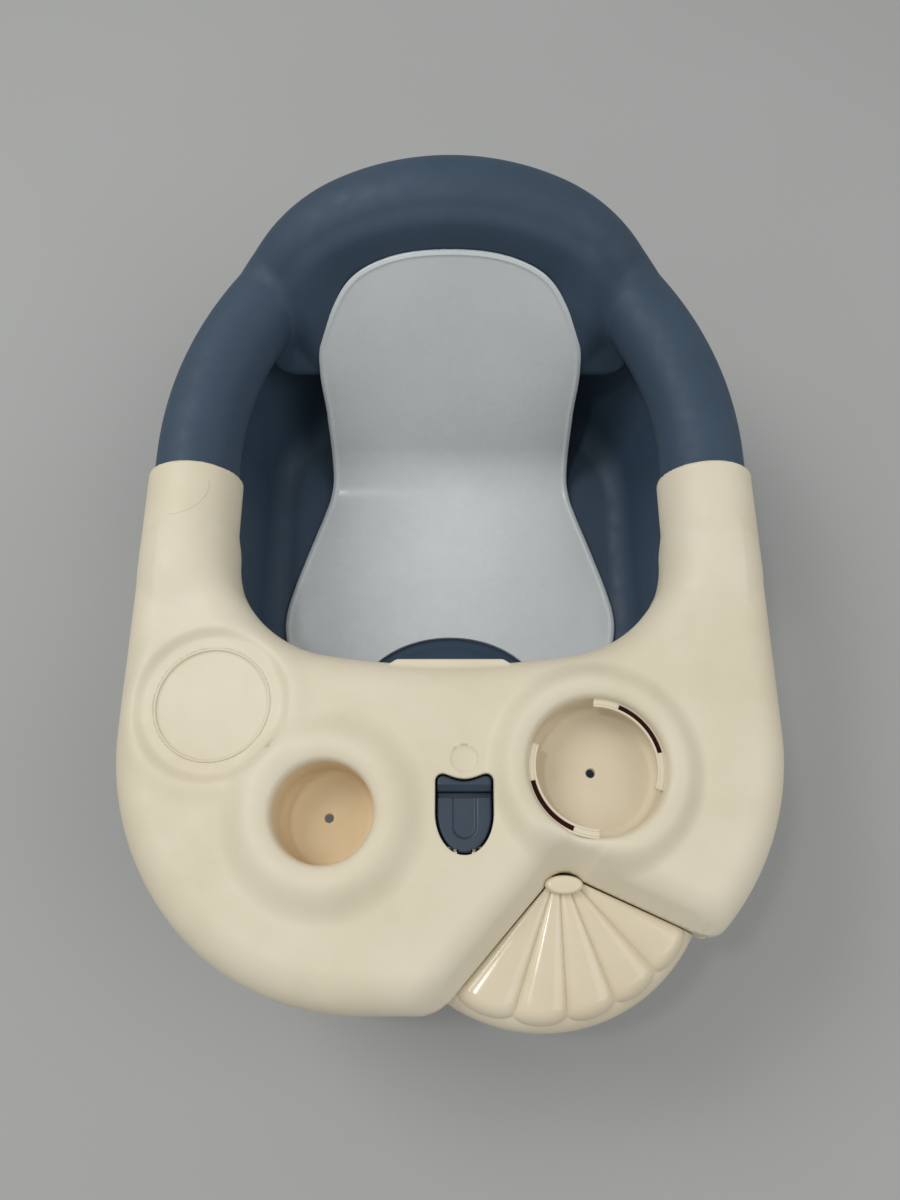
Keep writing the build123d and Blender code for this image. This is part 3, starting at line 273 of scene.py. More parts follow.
for name in ("suction_cup_front_left", "suction_cup_front_right",
             "suction_cup_rear_left", "suction_cup_rear_right"):
    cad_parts[name].data.materials[0] = cup_pvc
for name in ("latch_pin", "latch_spring", "post_screws", "back_screws", "tongue_screws",
             "fan_screws"):
    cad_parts[name].data.materials[0] = steel
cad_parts["latch_tongue"].data.materials[0] = navy

# %% [markdown]
# The ring and the tray are mouldings whose parts run into each other in soft fillets. Joining
# separate surfaces would leave seams, and booleans leave sharp edges. So each is worked out as a
# distance field: a function that is negative inside the plastic and positive outside, in which
# two forms f and g join with a fillet of radius r by
# max(r, min(f, g)) - sqrt(max(r - f, 0)^2 + max(r - g, 0)^2).
# The surface is where the field is zero. A grid finds it, one point in each cell that it passes
# through, and a few Newton steps then set each point exactly on it. A large form on a fine grid
# has more faces than it needs, so edges may be collapsed where it is flattest.

# %% Distance fields and their surface


def join(f, g, radius):
    """Both forms, with a fillet of the given radius where they meet."""
    return (np.maximum(radius, np.minimum(f, g))
            - np.hypot(np.maximum(radius - f, 0), np.maximum(radius - g, 0)))


def overlap(f, g, radius):
    """What lies in both forms, with its edge rounded to the given radius."""
    return -join(-f, -g, radius)


def cut(f, g, radius):
    """The form f less the form g, with its edge rounded to the given radius."""
    return -join(-f, g, radius)


def uneven_steps(low, high, step, fine_places=(), fine_step=0.8):
    """Grid planes from low to high a step apart, closer near each (place, half width)."""
    places = [low]
    while places[-1] < high:
        here = places[-1]
        near = any(abs(here + 0.5 * fine_step - p) < half for p, half in fine_places)
        places.append(here + (fine_step if near else step))
    return np.array(places)


def thinned(points, faces, share):
    """The same surface with this share of its triangles."""
    data = plain_mesh("dense", points, faces)
    dense = bpy.data.objects.new("dense", data)
    bpy.context.scene.collection.objects.link(dense)
    dense.modifiers.new("fewer", "DECIMATE").ratio = share
    mesh = dense.evaluated_get(bpy.context.evaluated_depsgraph_get()).to_mesh()
    mesh.calc_loop_triangles()
    points = np.empty(len(mesh.vertices) * 3, np.float32)
    mesh.vertices.foreach_get("co", points)
    faces = np.empty(len(mesh.loop_triangles) * 3, np.int32)
    mesh.loop_triangles.foreach_get("vertices", faces)
    bpy.data.objects.remove(dense)
    bpy.data.meshes.remove(data)
    return points.reshape(-1, 3).astype(float), faces.reshape(-1, 3)


def surface_of(field, xs, ys, zs, steps=4, thin_to=1.0):
    """Points, faces and normals of the surface where field(x, y, z) is zero.

    In each cell that the surface passes through, the point is the mean of the places where the
    cell's edges cross it. Each crossed edge gives a face between its four cells. Below 1, thin_to
    is the share of the triangles that is kept."""
    f = np.asarray(field(xs[:, None, None], ys[None, :, None], zs[None, None, :]), np.float32)
    axes = (xs, ys, zs)
    shape = tuple(n - 1 for n in f.shape)
    total = np.zeros(shape + (3,), np.float32)
    count = np.zeros(shape, np.float32)
    crossings = []
    for axis in range(3):
        first = [slice(None)] * 3
        second = [slice(None)] * 3
        first[axis], second[axis] = slice(0, -1), slice(1, None)
        a, b = f[tuple(first)], f[tuple(second)]
        crossed = (a < 0) != (b < 0)
        at = np.argwhere(crossed)
        share = a[crossed] / (a[crossed] - b[crossed])
        point = np.stack([axes[k][at[:, k]] for k in range(3)], -1)
        along = axes[axis]
        point[:, axis] += share * (along[at[:, axis] + 1] - along[at[:, axis]])
        p, q = [k for k in range(3) if k != axis]
        for dp in (0, -1):
            for dq in (0, -1):
                cell = at.copy()
                cell[:, p] += dp
                cell[:, q] += dq
                inside = ((cell >= 0) & (cell < np.array(shape))).all(1)
                index = tuple(cell[inside].T)
                np.add.at(total, index, point[inside])
                np.add.at(count, index, 1)
        crossings.append((axis, p, q, at, a[crossed] < 0))
    used = count > 0
    number = np.full(shape, -1, np.int64)
    number[used] = np.arange(used.sum())
    points = (total[used] / count[used][:, None]).astype(float)
    faces = []
    for axis, p, q, at, starts_inside in crossings:
        keep = (at[:, p] > 0) & (at[:, q] > 0) & (at[:, p] < shape[p]) & (at[:, q] < shape[q])
        at, starts_inside = at[keep], starts_inside[keep]
        corners = []
        for dp, dq in ((-1, -1), (0, -1), (0, 0), (-1, 0)):
            cell = at.copy()
            cell[:, p] += dp
            cell[:, q] += dq
            corners.append(number[tuple(cell.T)])
        quad = np.stack(corners, -1)
        turned = starts_inside != (axis == 1)
        faces.append(np.where(turned[:, None], quad, quad[:, ::-1]))
    faces = np.concatenate(faces)
    h = 0.15

    def slope(p):
        """The field's gradient, from its values a small step h to either side."""
        x, y, z = p.T
        return np.stack([field(x + h, y, z) - field(x - h, y, z),
                         field(x, y + h, z) - field(x, y - h, z),
                         field(x, y, z + h) - field(x, y, z - h)], -1) / (2 * h)

    def settled(points):
        """The points moved along the gradient by value / gradient squared, a few times."""
        for _ in range(steps):
            gradient = slope(points)
            step = field(*points.T) / np.maximum((gradient ** 2).sum(1), 0.05)
            points = points - gradient * np.clip(step, -0.6, 0.6)[:, None]
        return points

    points = settled(points)
    if thin_to < 1:
        points, faces = thinned(points, faces, thin_to)
        points = settled(points)
    normals = slope(points)
    normals /= np.linalg.norm(normals, axis=1)[:, None] + 1e-9
    return points, faces, normals


def bend_from(start, way, end):
    """Centre, radius and turn (+1 left, -1 right) of the arc that leaves start along way to end."""
    start, way, end = (np.array(v, float) for v in (start, way, end))
    way /= np.hypot(*way)
    left = np.array([-way[1], way[0]])
    chord = end - start
    curve = 2 * chord @ left / (chord @ chord)
    centre = start + left / curve
    radial = end - centre
    turn = 1.0 if curve > 0 else -1.0
    leaving = turn * np.array([-radial[1], radial[0]])
    return centre, abs(1 / curve), turn, leaving


def arc_gap(x, y, centre, radius, start, end):
    """Distance from (x, y) to an arc between two of its points, and which side of it they are."""
    a = math.atan2(start[1] - centre[1], start[0] - centre[0])
    b = math.atan2(end[1] - centre[1], end[0] - centre[0])
    half = (((b - a) + math.pi) % (2 * math.pi) - math.pi) / 2
    middle = a + half
    turn = (np.arctan2(y - centre[1], x - centre[0]) - middle + math.pi) % (2 * math.pi) - math.pi
    turn = np.clip(turn, -abs(half), abs(half)) + middle
    gap = np.hypot(x - centre[0] - radius * np.cos(turn), y - centre[1] - radius * np.sin(turn))
    return gap, np.hypot(x - centre[0], y - centre[1]) - radius


def line_gap(x, y, start, end):
    """Distance from (x, y) to a straight piece, and how far it lies to the left of its way."""
    (x0, y0), (x1, y1) = start, end
    length = math.hypot(x1 - x0, y1 - y0)
    ux, uy = (x1 - x0) / length, (y1 - y0) / length
    along = np.clip((x - x0) * ux + (y - y0) * uy, 0, length)
    gap = np.hypot(x - x0 - ux * along, y - y0 - uy * along)
    return gap, (y - y0) * ux - (x - x0) * uy


def nearest(pieces):
    """Signed distance to an outline: the gap to its nearest piece, with that piece's side."""
    best, side = pieces[0]
    for gap, s in pieces[1:]:
        closer = gap < best
        side = np.where(closer, s, side)
        best = np.where(closer, gap, best)
    return np.where(side > 0, best, -best)


# %% [markdown]
# The backrest is a thick roll bent into an arch that leans back by 27 degrees, and two arms that
# sweep forward from its feet. On the real seat the roll's shoulders stand out over the arms in a
# soft crease, and a broad hollow face joins roll and arms inside. All of it is one blow-moulded
# piece, so it is one field: the arch and the arms are tubes, the face is a plate under the arch.

# %% The ring: backrest and arms
ROLL = dict(radius=28.0, y=234.0, z=199.0, lean=math.radians(27))
CROWN, SHOULDER = 166.0, 104.0
CROWN_TURN = math.radians(22.5)
ARM = dict(radius=26.0, x=161.0, z=149.0, front=8.0, bend=74.0)
SEAT_RIM_Z = ARM["z"] - ARM["radius"] - 0.3

shoulder_u = (CROWN - SHOULDER) * math.sin(CROWN_TURN)
shoulder_v = -CROWN + (CROWN - SHOULDER) * math.cos(CROWN_TURN)
foot_v = (ARM["z"] - ROLL["z"]) / math.cos(ROLL["lean"])
foot_turn = math.asin((foot_v - shoulder_v) / SHOULDER)
foot_x = shoulder_u + SHOULDER * math.cos(foot_turn)
foot_y = ROLL["y"] + foot_v * math.sin(ROLL["lean"])
reach, inset = foot_y - ARM["bend"], ARM["x"] - foot_x
bend_radius = (reach ** 2 + inset ** 2) / (2 * inset)


def arch_plane(y, z):
    """Height along the leaning arch's plane, and depth in front of it."""
    s, c = math.sin(ROLL["lean"]), math.cos(ROLL["lean"])
    return (y - ROLL["y"]) * s + (z - ROLL["z"]) * c, -(y - ROLL["y"]) * c + (z - ROLL["z"]) * s


def arch_gap(u, v):
    """Signed distance in the arch's plane to its centre line, negative under the arch."""
    join_u = CROWN * math.sin(CROWN_TURN)
    join_v = -CROWN + CROWN * math.cos(CROWN_TURN)
    crown = arc_gap(u, v, (0, -CROWN), CROWN, (-join_u, join_v), (join_u, join_v))
    shoulder = arc_gap(u, v, (shoulder_u, shoulder_v), SHOULDER, (join_u, join_v), (foot_x, foot_v))
    side = line_gap(u, v, (138.0, -150.0), (foot_x, foot_v))
    return nearest([crown, shoulder, (side[0], -side[1])]), np.minimum(crown[0], shoulder[0])


def ring(x, y, z):
    """Arch tube, joined to a plate under it and to the two arms, and hollowed at the seat."""
    u = np.abs(x)
    v, w = arch_plane(y, z)
    under, to_arch = arch_gap(u, v)
    roll = np.hypot(to_arch, w) - ROLL["radius"]
    arc = arc_gap(u, y, (ARM["x"] - bend_radius, ARM["bend"]), bend_radius,
                  (ARM["x"], ARM["bend"]), (foot_x, foot_y))[0]
    straight = line_gap(u, y, (ARM["x"], ARM["front"]), (ARM["x"], ARM["bend"]))
    arm = np.hypot(np.minimum(arc, straight[0]), z - ARM["z"]) - ARM["radius"]
    arm = overlap(arm, ARM["front"] - y + 0 * x, 4.0)
    plate = overlap(under, np.abs(w - 6.5) - 20.5, 3.0)
    form = join(roll, plate, 10.0)
    inside = np.clip((foot_x - 2.0 - u) / 22.0, 0, 1)
    form = join(form, arm, 5.0 + 28.0 * inside * inside * (3 - 2 * inside))
    foot = overlap(form, 108.0 - z + 0 * x, 10.0)
    low = np.clip((136.0 - u) / 30.0, 0, 1)
    floor = SEAT_RIM_Z + 0.3 - z - 16.0 * low * low * (3 - 2 * low)
    return overlap(foot, np.minimum(floor, 30.0), 5.0)


xs = uneven_steps(-194, 194, 2.6)
ys = uneven_steps(4, 266, 2.6)
zs = uneven_steps(102, 230, 2.6)
ring_points, ring_faces, ring_normals = surface_of(ring, xs, ys, zs)
print("ring box", ring_points.min(0).round(1), ring_points.max(0).round(1))
add_mesh("seat_ring", ring_points, ring_faces, "seat", navy,
         ring_normals, ["backrest"])

# %% [markdown]
# The lower seat is a tub: its wall leans outwards, and its plan is a rectangle with large round
# corners. The wall is high under the arms and sweeps down at the front, where the legs pass. It
# is worked out as a profile carried round the plan: up the outside, over the rim, down the
# inside, round a fillet and across the floor.

# %% The tub
TUB_LOW, TUB_HIGH, TUB_FLOOR, TUB_WALL = 10.0, SEAT_RIM_Z, 36.0, 3.5
TUB_FOOT, TUB_FILLET = 0.6, 14.0
RIM_ROUND = TUB_WALL / 2
FLOOR_SHARES = (0.75, 0.5, 0.25, 0.02)


def tub_outline(turn, z, inset):
    """Point of the tub's plan at height z, drawn inwards: a rectangle with round corners.

    turn runs 0 to 1 round the plan, an eighth for each of its four sides and four corners, so
    that the same turn stays on the same side or corner at every height."""
    share = (z - TUB_LOW) / (TUB_HIGH - TUB_LOW)
    half = 128.0 + 30.8 * share - inset
    rear, front = 172.0 + 40.0 * share - inset, -118.0 - 10.0 * share + inset
    rear_r, front_r = 80.0 + 8.0 * share - inset, 50.0 + 10.0 * share - inset
    rear_r, front_r = np.maximum(rear_r, 0.01), np.maximum(front_r, 0.01)
    t = (turn % 1.0) * 8.0
    side = np.floor(t)
    f = t - side
    quarter = f * math.pi / 2
    along = (rear - rear_r - front - front_r) * f
    x = np.choose(side.astype(int), [
        half, half - rear_r + rear_r * np.cos(quarter),
        (half - rear_r) * (1 - 2 * f), -half + rear_r - rear_r * np.sin(quarter),
        -half, -half + front_r - front_r * np.cos(quarter),
        (-half + front_r) * (1 - 2 * f), half - front_r + front_r * np.sin(quarter)])
    y = np.choose(side.astype(int), [
        front + front_r + along, rear - rear_r + rear_r * np.sin(quarter),
        rear, rear - rear_r + rear_r * np.cos(quarter),
        rear - rear_r - along, front + front_r - front_r * np.sin(quarter),
        front, front + front_r - front_r * np.cos(quarter)])
    return x, y


def rim_height(y):
    """Height of the tub's rim: full from the arms' bend back, sweeping down to the front lip."""
    stops = np.array([-140.0, -120, -90, -50, -20, 0, 20, 38, 52, 62, 66.0])
    levels = np.array([54.0, 54.2, 55.0, 58.5, 65.0, 71.5, 80.5, 91.5, 103.5, 115.0, TUB_HIGH])
    return np.where(y > 66, TUB_HIGH, np.interp(y, stops, levels))


turns = np.linspace(0, 1, 520, endpoint=False)
rows = []
_, rim_y = tub_outline(turns, 90.0, 0.0)
rim = rim_height(rim_y)
for _ in range(3):
    rim = (np.roll(rim, 1) + 2 * rim + np.roll(rim, -1)) / 4
for share in np.linspace(0, 1, 24):
    z = TUB_LOW + TUB_FOOT + (rim - RIM_ROUND - TUB_LOW - TUB_FOOT) * share
    rows.append((z, 0.0))
for angle in np.linspace(0, math.pi, 7)[1:-1]:
    rows.append((rim - RIM_ROUND + RIM_ROUND * math.sin(angle),
                 RIM_ROUND - RIM_ROUND * math.cos(angle)))
for share in np.linspace(0, 1, 22):
    z = rim - RIM_ROUND + (TUB_FLOOR + TUB_FILLET - rim + RIM_ROUND) * share
    rows.append((z, TUB_WALL))
for angle in np.linspace(0, math.pi / 2, 9)[1:]:
    rows.append((TUB_FLOOR + TUB_FILLET - TUB_FILLET * math.sin(angle) + 0 * rim,
                 TUB_WALL + TUB_FILLET * (1 - math.cos(angle))))
points = []
for z, inset in rows:
    x, y = tub_outline(turns, z, inset)
    points.append(np.stack([x, y, np.broadcast_to(z, x.shape)], -1))
edge = points[-1]
middle = np.array([0.0, 30.0, TUB_FLOOR])
for share in FLOOR_SHARES:
    points.append(middle + (edge - middle) * share)
upper = np.array(points)
under = []
for z, inset in ((TUB_LOW + TUB_FOOT, 0.0), (TUB_LOW, 0.8), (TUB_LOW, TUB_WALL - 0.8),
                 (TUB_LOW + 0.8, TUB_WALL), (TUB_FLOOR - TUB_WALL - 3, TUB_WALL),
                 (TUB_FLOOR - TUB_WALL, TUB_WALL + 3)):
    x, y = tub_outline(turns, z, inset)
    under.append(np.stack([x, y, np.full_like(x, z)], -1))
edge = under[-1]
middle = np.array([0.0, 30.0, TUB_FLOOR - TUB_WALL])
for share in FLOOR_SHARES:
    under.append(middle + (edge - middle) * share)
tub = np.concatenate([np.array(under)[::-1], upper[1:]])
tub_faces = grid_faces(len(tub), len(turns), close_columns=True)
add_mesh("seat_tub", tub.reshape(-1, 3), tub_faces, "seat", navy,
         stands_for=["seat_pan"])
print("tub box", tub.reshape(-1, 3).min(0).round(1), tub.reshape(-1, 3).max(0).round(1))

# %% [markdown]
# The seat liner is one thin panel that runs down the backrest, bends through a large round and
# lies on the seat. Flat, it is a sheet with a keyhole's outline. So it is worked out flat, as
# rows across its width, and each row is then carried along the bent path. Its edge is rounded,
# and a low bead runs along it, which catches the light as a thin bright line.

# %% The seat liner
LEAN = ROLL["lean"]
face_at_roll = ROLL["y"] - ROLL["radius"] / math.cos(LEAN)
liner_half = 1.25
liner_floor = TUB_FLOOR + 0.3 + liner_half
bend_r = 46.0 - liner_half
POST_HOLE = dict(half_x=67.2, half_y=50.2, y=-62.0)
HALF_POINTS = 900


def back_face(z):
    """Y of the middle of the panel where it lies on the backrest, at height z."""
    return face_at_roll - math.tan(LEAN) * (ROLL["z"] - z) - (0.3 + liner_half) / math.cos(LEAN)


corner_y = back_face(liner_floor)
bend_turn = math.pi / 2 - LEAN
back_off = bend_r * math.tan(bend_turn / 2)
top_height = 196.0
back_length = (top_height - liner_floor) / math.cos(LEAN) - back_off
bend_length = bend_r * bend_turn
front_length = corner_y - back_off + 52.0
print(f"liner: back {back_length:.0f}, bend {bend_length:.0f}, seat {front_length:.0f} mm long")


def liner_path(s):
    """Point (y, z) and upward normal (y, z) at length s down the panel's middle line."""
    down = np.array([-math.sin(LEAN), -math.cos(LEAN)])
    start = np.array([back_face(top_height), top_height])
    bend_start = start + down * back_length
    normal = np.array([-math.cos(LEAN), math.sin(LEAN)])
    centre = bend_start + normal * bend_r
    turn = np.clip((s - back_length) / bend_r, 0, bend_turn)
    c, d = np.cos(turn), np.sin(turn)
    n = np.stack([normal[0] * c - down[0] * d, normal[1] * c - down[1] * d], -1)
    arc = centre - n * bend_r
    back = start + down * np.minimum(s, back_length)[:, None]
    ahead = np.maximum(s - back_length - bend_length, 0)
    point = np.where((s < back_length)[:, None], back, arc)
    point = point - np.stack([ahead, 0 * ahead], -1)
    return point, n


outline_s = [0.0]
outline_w = [0.0]
for z, w in ((195.6, 14.0), (194.2, 28.0), (191.0, 42.0), (185.5, 56.0), (178.5, 66.5), (170.0, 73.5),
             (158.0, 80.5), (145.0, 87.0), (131.0, 91.5), (112.0, 92.0), (92.0, 90.0)):
    outline_s.append((top_height - z) / math.cos(LEAN))
    outline_w.append(w)
flat_start = back_length + bend_length
for y, w in ((112.0, 89.0), (100.0, 91.0), (84.0, 96.0), (56.0, 105.5), (30.0, 114.0), (8.9, 119.5),
             (-4.0, 120.5), (-18.0, 118.0), (-30.0, 112.5), (-40.0, 104.5), (-47.0, 95.0),
             (-50.5, 88.0), (-52.0, 80.0)):
    outline_s.append(flat_start + corner_y - back_off - y)
    outline_w.append(w)
outline = np.stack([outline_s, outline_w], -1)
outline = np.concatenate([(outline * (1, -1))[:0:-1], outline])
length = np.concatenate([[0], np.cumsum(np.hypot(*np.diff(outline, axis=0).T))])
even = np.linspace(0, length[-1], 2 * HALF_POINTS + 1)
outline = np.stack([np.interp(even, length, outline[:, k]) for k in (0, 1)], -1)
for _ in range(260):
    outline[1:-1] = (outline[:-2] + 2 * outline[1:-1] + outline[2:]) / 4
fine_s, fine_w = outline[HALF_POINTS:].T
fine_s = fine_s - fine_s[0]
share = (1 - np.cos(np.linspace(0, math.pi, 190))) / 2
rows_s = np.unique(np.concatenate([share * fine_s[-1], 10 * np.linspace(0, 1, 24) ** 2]))
across = np.sin(np.linspace(-math.pi / 2, math.pi / 2, 97))
row_w = np.interp(rows_s, fine_s, fine_w)
row_w[0] = 0.5
grid_s = np.repeat(rows_s[:, None], len(across), 1)
grid_x = row_w[:, None] * across[None, :]
near_s = np.concatenate([fine_s, np.full(80, fine_s[-1])])
near_x = np.concatenate([fine_w, np.linspace(0, fine_w[-1], 80)])
edge_gap = np.full(grid_s.shape, 99.0)
for part in range(0, len(near_s), 20):
    gap = np.hypot(grid_s[..., None] - near_s[part:part + 20],
                   np.abs(grid_x[..., None]) - near_x[part:part + 20]).min(-1)
    edge_gap = np.minimum(edge_gap, gap)
edge_gap[:, [0, -1]] = 0
edge_gap[[0, -1], :] = 0
round_off = np.clip(edge_gap / liner_half, 0, 1)
height = liner_half * np.sqrt(np.clip(1 - (1 - round_off) ** 2, 0, 1))
bead = 0.55 * np.exp(-((edge_gap - 2.6) / 0.9) ** 2)
way, up = liner_path(rows_s)
post_gap = np.hypot(grid_x / POST_HOLE["half_x"],
                    (way[:, None, 0] - POST_HOLE["y"]) / POST_HOLE["half_y"]) - 1
sheet_top = np.stack([grid_x, way[:, None, 0] + up[:, None, 0] * (height + bead),
                      way[:, None, 1] + up[:, None, 1] * (height + bead)], -1)
sheet_low = np.stack([grid_x, way[:, None, 0] - up[:, None, 0] * height,
                      way[:, None, 1] - up[:, None, 1] * height], -1)
count = grid_s.size
faces_top = grid_faces(*grid_s.shape)
faces_low = faces_top[:, ::-1] + count
open_here = (post_gap.ravel()[faces_top] > 0).all(1)
points = np.concatenate([sheet_top.reshape(-1, 3), sheet_low.reshape(-1, 3)])
hole_edge = (post_gap.ravel()[faces_top] > 0).any(1) & ~open_here
near_hole = (post_gap.ravel() <= 0) & np.isin(np.arange(count), faces_top[hole_edge].ravel())
move = np.where(near_hole, 1 / (post_gap.ravel() + 1 + 1e-9), 1.0)
for sheet in (0, count):
    points[sheet:sheet + count, 0] *= move
    from_hole = points[sheet:sheet + count, 1] - POST_HOLE["y"]
    points[sheet:sheet + count, 1] = from_hole * move + POST_HOLE["y"]
keep = open_here | hole_edge
faces = np.concatenate([faces_top[keep], faces_low[keep]])
add_mesh("seat_panel", points, faces, "seat", liner_grey,
         stands_for=["seat_liner"])

# %% [markdown]
# The post between the legs rises from a broad foot on the liner. Its cross-section is an ellipse
# whose two radii and place change smoothly with height, so it is a loft through five ellipses.

# %% The post
post_low, post_top = TUB_FLOOR + 0.3, 148.0
post_rings = np.array([
    (post_low, 66.0, 49.0, -62.0), (post_low + 5.0, 57.0, 42.8, -65.5),
    (post_low + 21.7, 43.6, 33.3, -75.5), (post_low + 69.7, 29.0, 25.8, -89.0),
    (post_top, 25.0, 23.0, -92.0)])
levels = np.linspace(0, 4, 90)
before = np.clip(levels.astype(int), 0, 3)
share = (levels - before)[:, None]
padded_rings = np.vstack([2 * post_rings[0] - post_rings[1], post_rings,
                          2 * post_rings[-1] - post_rings[-2]])
p0, p1, p2, p3 = (padded_rings[before + k] for k in range(4))
lofted = 0.5 * (2 * p1 + (p2 - p0) * share + (2 * p0 - 5 * p1 + 4 * p2 - p3) * share ** 2
                + (3 * p1 - p0 - 3 * p2 + p3) * share ** 3)
around = np.linspace(0, 2 * math.pi, 128, endpoint=False)


def ellipse_row(z, half_x, half_y, y):
    """Ring of points: (half_x cos a, y + half_y sin a, z)."""
    return np.stack([half_x * np.cos(around), y + half_y * np.sin(around),
                     np.full(around.shape, z)], -1)


rows = [ellipse_row(post_low, 0.1, 0.1, -62.0), ellipse_row(post_low, 64.8, 47.8, -62.0)]
rows += [ellipse_row(*ring) for ring in lofted]
rows += [ellipse_row(post_top, 24.0, 22.0, -92.0), ellipse_row(post_top, 0.1, 0.1, -92.0)]
post_shape = np.array(rows)
add_mesh("leg_post", post_shape.reshape(-1, 3),
         grid_faces(len(rows), len(around), close_columns=True),
         "seat", navy, stands_for=["front_post"])

# %% [markdown]
# The tray is a thin shell. Its outline is made of lines and arcs that touch smoothly.
# Its top edge is rounded over with a 22 mm radius, two wells have raised rims, and two sleeves
# grow out of its wings. A rim is a soft rise of the top's height, so it is added by lowering the
# height that the form's field is asked for. Wells and the shell ornament's notch are then cut
# out with rounded edges, and only the outermost 4.2 mm of the result is kept.

# %% The tray's outline
TOP, LOW, WALL, EDGE = 175.0, 132.0, 4.2, 22.0
SLEEVE = dict(radius=29.0, bore=26.3, rear=58.0, front=-8.0)
RECESS = dict(x=-132.6, y=-91.9, floor=32.8, rim=45.0, ridge=47.0, depth=2.8)
FINGER_DISH = dict(y=-122.5, radius=7.6, depth=1.7)
DRAIN_RADIUS = 2.5
NOTCH = dict(low=137.0, slope_from=157.0, slope=0.72, gap=0.6)
LEVER = dict(x=7.7, rear=-131.5, front=-172.0, half=14.7)
FAN_LEFT, FAN_RIGHT = (-1.0, -246.5), (131.5, -213.0)
HINGE_LEFT, HINGE_TOP, HINGE_RIGHT = (51.0, -189.0), (61.0, -181.5), (71.0, -186.0)
SIDE, CORNER, FRONT = (188.5, -105.0), (146.0, -210.0), (45.0, -252.0)
WING, KNEE, BACK = (131.0, 10.0), (70.0, -59.5), (0.0, -65.0)
corner_arc = bend_from(SIDE, (0, -1), CORNER)
front_arc = bend_from(CORNER, corner_arc[3], FRONT)
cut_arc = bend_from(WING, (0, -1), KNEE)
back_arc = bend_from(BACK, (1, 0), KNEE)


def tray_plan(x, y):
    """Signed distance to the tray's outline from above; the wings run on past their ends."""
    u = np.abs(x) + 0 * y
    v = y + 0 * x
    side = line_gap(u, v, (SIDE[0], 80.0), SIDE)
    corner = arc_gap(u, v, *corner_arc[:2], SIDE, CORNER)
    front = arc_gap(u, v, *front_arc[:2], CORNER, FRONT)
    inner = line_gap(u, v, (WING[0], 80.0), WING)
    cut_side = arc_gap(u, v, *cut_arc[:2], WING, KNEE)
    back = arc_gap(u, v, *back_arc[:2], BACK, KNEE)
    return nearest([side, corner, front, line_gap(u, v, FRONT, (0.0, FRONT[1])),
                    (back[0], -back[1]), (cut_side[0], -cut_side[1]), (inner[0], -inner[1])])


def circle_through(a, b, c):
    """Centre and radius of the circle through three points: where two bisectors cross."""
    a, b, c = (np.array(p, float) for p in (a, b, c))
    matrix = np.array([b - a, c - a])
    centre = np.linalg.solve(matrix, 0.5 * np.array([b @ b - a @ a, c @ c - a @ a]))
    return centre, float(np.hypot(*(a - centre)))


hinge_arc = circle_through(HINGE_LEFT, HINGE_TOP, HINGE_RIGHT)
rim_arc = circle_through(FAN_RIGHT, (51.0, -262.0), FAN_LEFT)


def fan_wedge(x, y):
    """Signed distance to the space between the ornament's two sides, carried on past its rim."""
    x, y = x + 0 * y, y + 0 * x
    left = (FAN_LEFT[0] - 0.67 * 50, FAN_LEFT[1] - 0.742 * 50)
    right = (FAN_RIGHT[0] + 0.913 * 50, FAN_RIGHT[1] - 0.408 * 50)
    return nearest([line_gap(x, y, left, HINGE_LEFT),
                    arc_gap(x, y, *hinge_arc, HINGE_LEFT, HINGE_RIGHT),
                    line_gap(x, y, HINGE_RIGHT, right)])


def lever_plan(x, y):
    """Signed distance to the latch lever's outline: half an ellipse to the front, straight sides,
    and a concave rear edge between two round corners."""
    u = np.abs(x - LEVER["x"]) + 0 * y
    half, nose = LEVER["half"], 21.0
    v = np.minimum(y - LEVER["front"] - nose, 0) + 0 * u
    reach = np.hypot(u / half, v / nose) + 1e-6
    steep = np.hypot(u / half ** 2, v / nose ** 2) / reach + 1e-6
    sides = np.maximum((reach - 1) / steep, -half)
    rear = y - LEVER["rear"] + 2.8 * np.clip(1 - (u / 11.5) ** 2, 0, 1) ** 1.5
    return overlap(sides, rear, 3.0)


# %% [markdown]
# A rim falls away outside its crest along half a cosine wave, and inside it along a quarter of
# an ellipse, which turns over into the well's upright wall.

# %% The tray's body


def rim_lift(x, y, well):
    """Height that a well's rim adds: 8 mm at the crest, none past its foot."""
    reach = np.hypot(x - well["x"], y - well["y"])
    out = 0.5 + 0.5 * np.cos(math.pi * np.clip(
        (reach - well["crest"]) / (well["foot"] + 4 - well["crest"]), 0, 1))
    inward = np.clip((well["crest"] - reach) / (well["crest"] - well["radius"] + 0.6), 0, 1)
    inner = 1 - 0.8 * (1 - np.sqrt(1 - inward ** 2))
    return 8.0 * np.where(reach > well["crest"], out, inner)


def well_room(x, y, z, well):
    """The space in a well: a cylinder with a rounded foot."""
    reach = np.hypot(x - well["x"], y - well["y"])
    return overlap(reach - well["radius"], well["floor"] - z + 0 * reach, 5.0)


def sleeve(x, y, z, radius):
    """A round bar under the wing with a domed front end, as the arms need."""
    u = np.abs(x) - ARM["x"]
    return np.sqrt(u ** 2 + np.minimum(y - SLEEVE["front"], 0) ** 2 + (z - ARM["z"]) ** 2) - radius


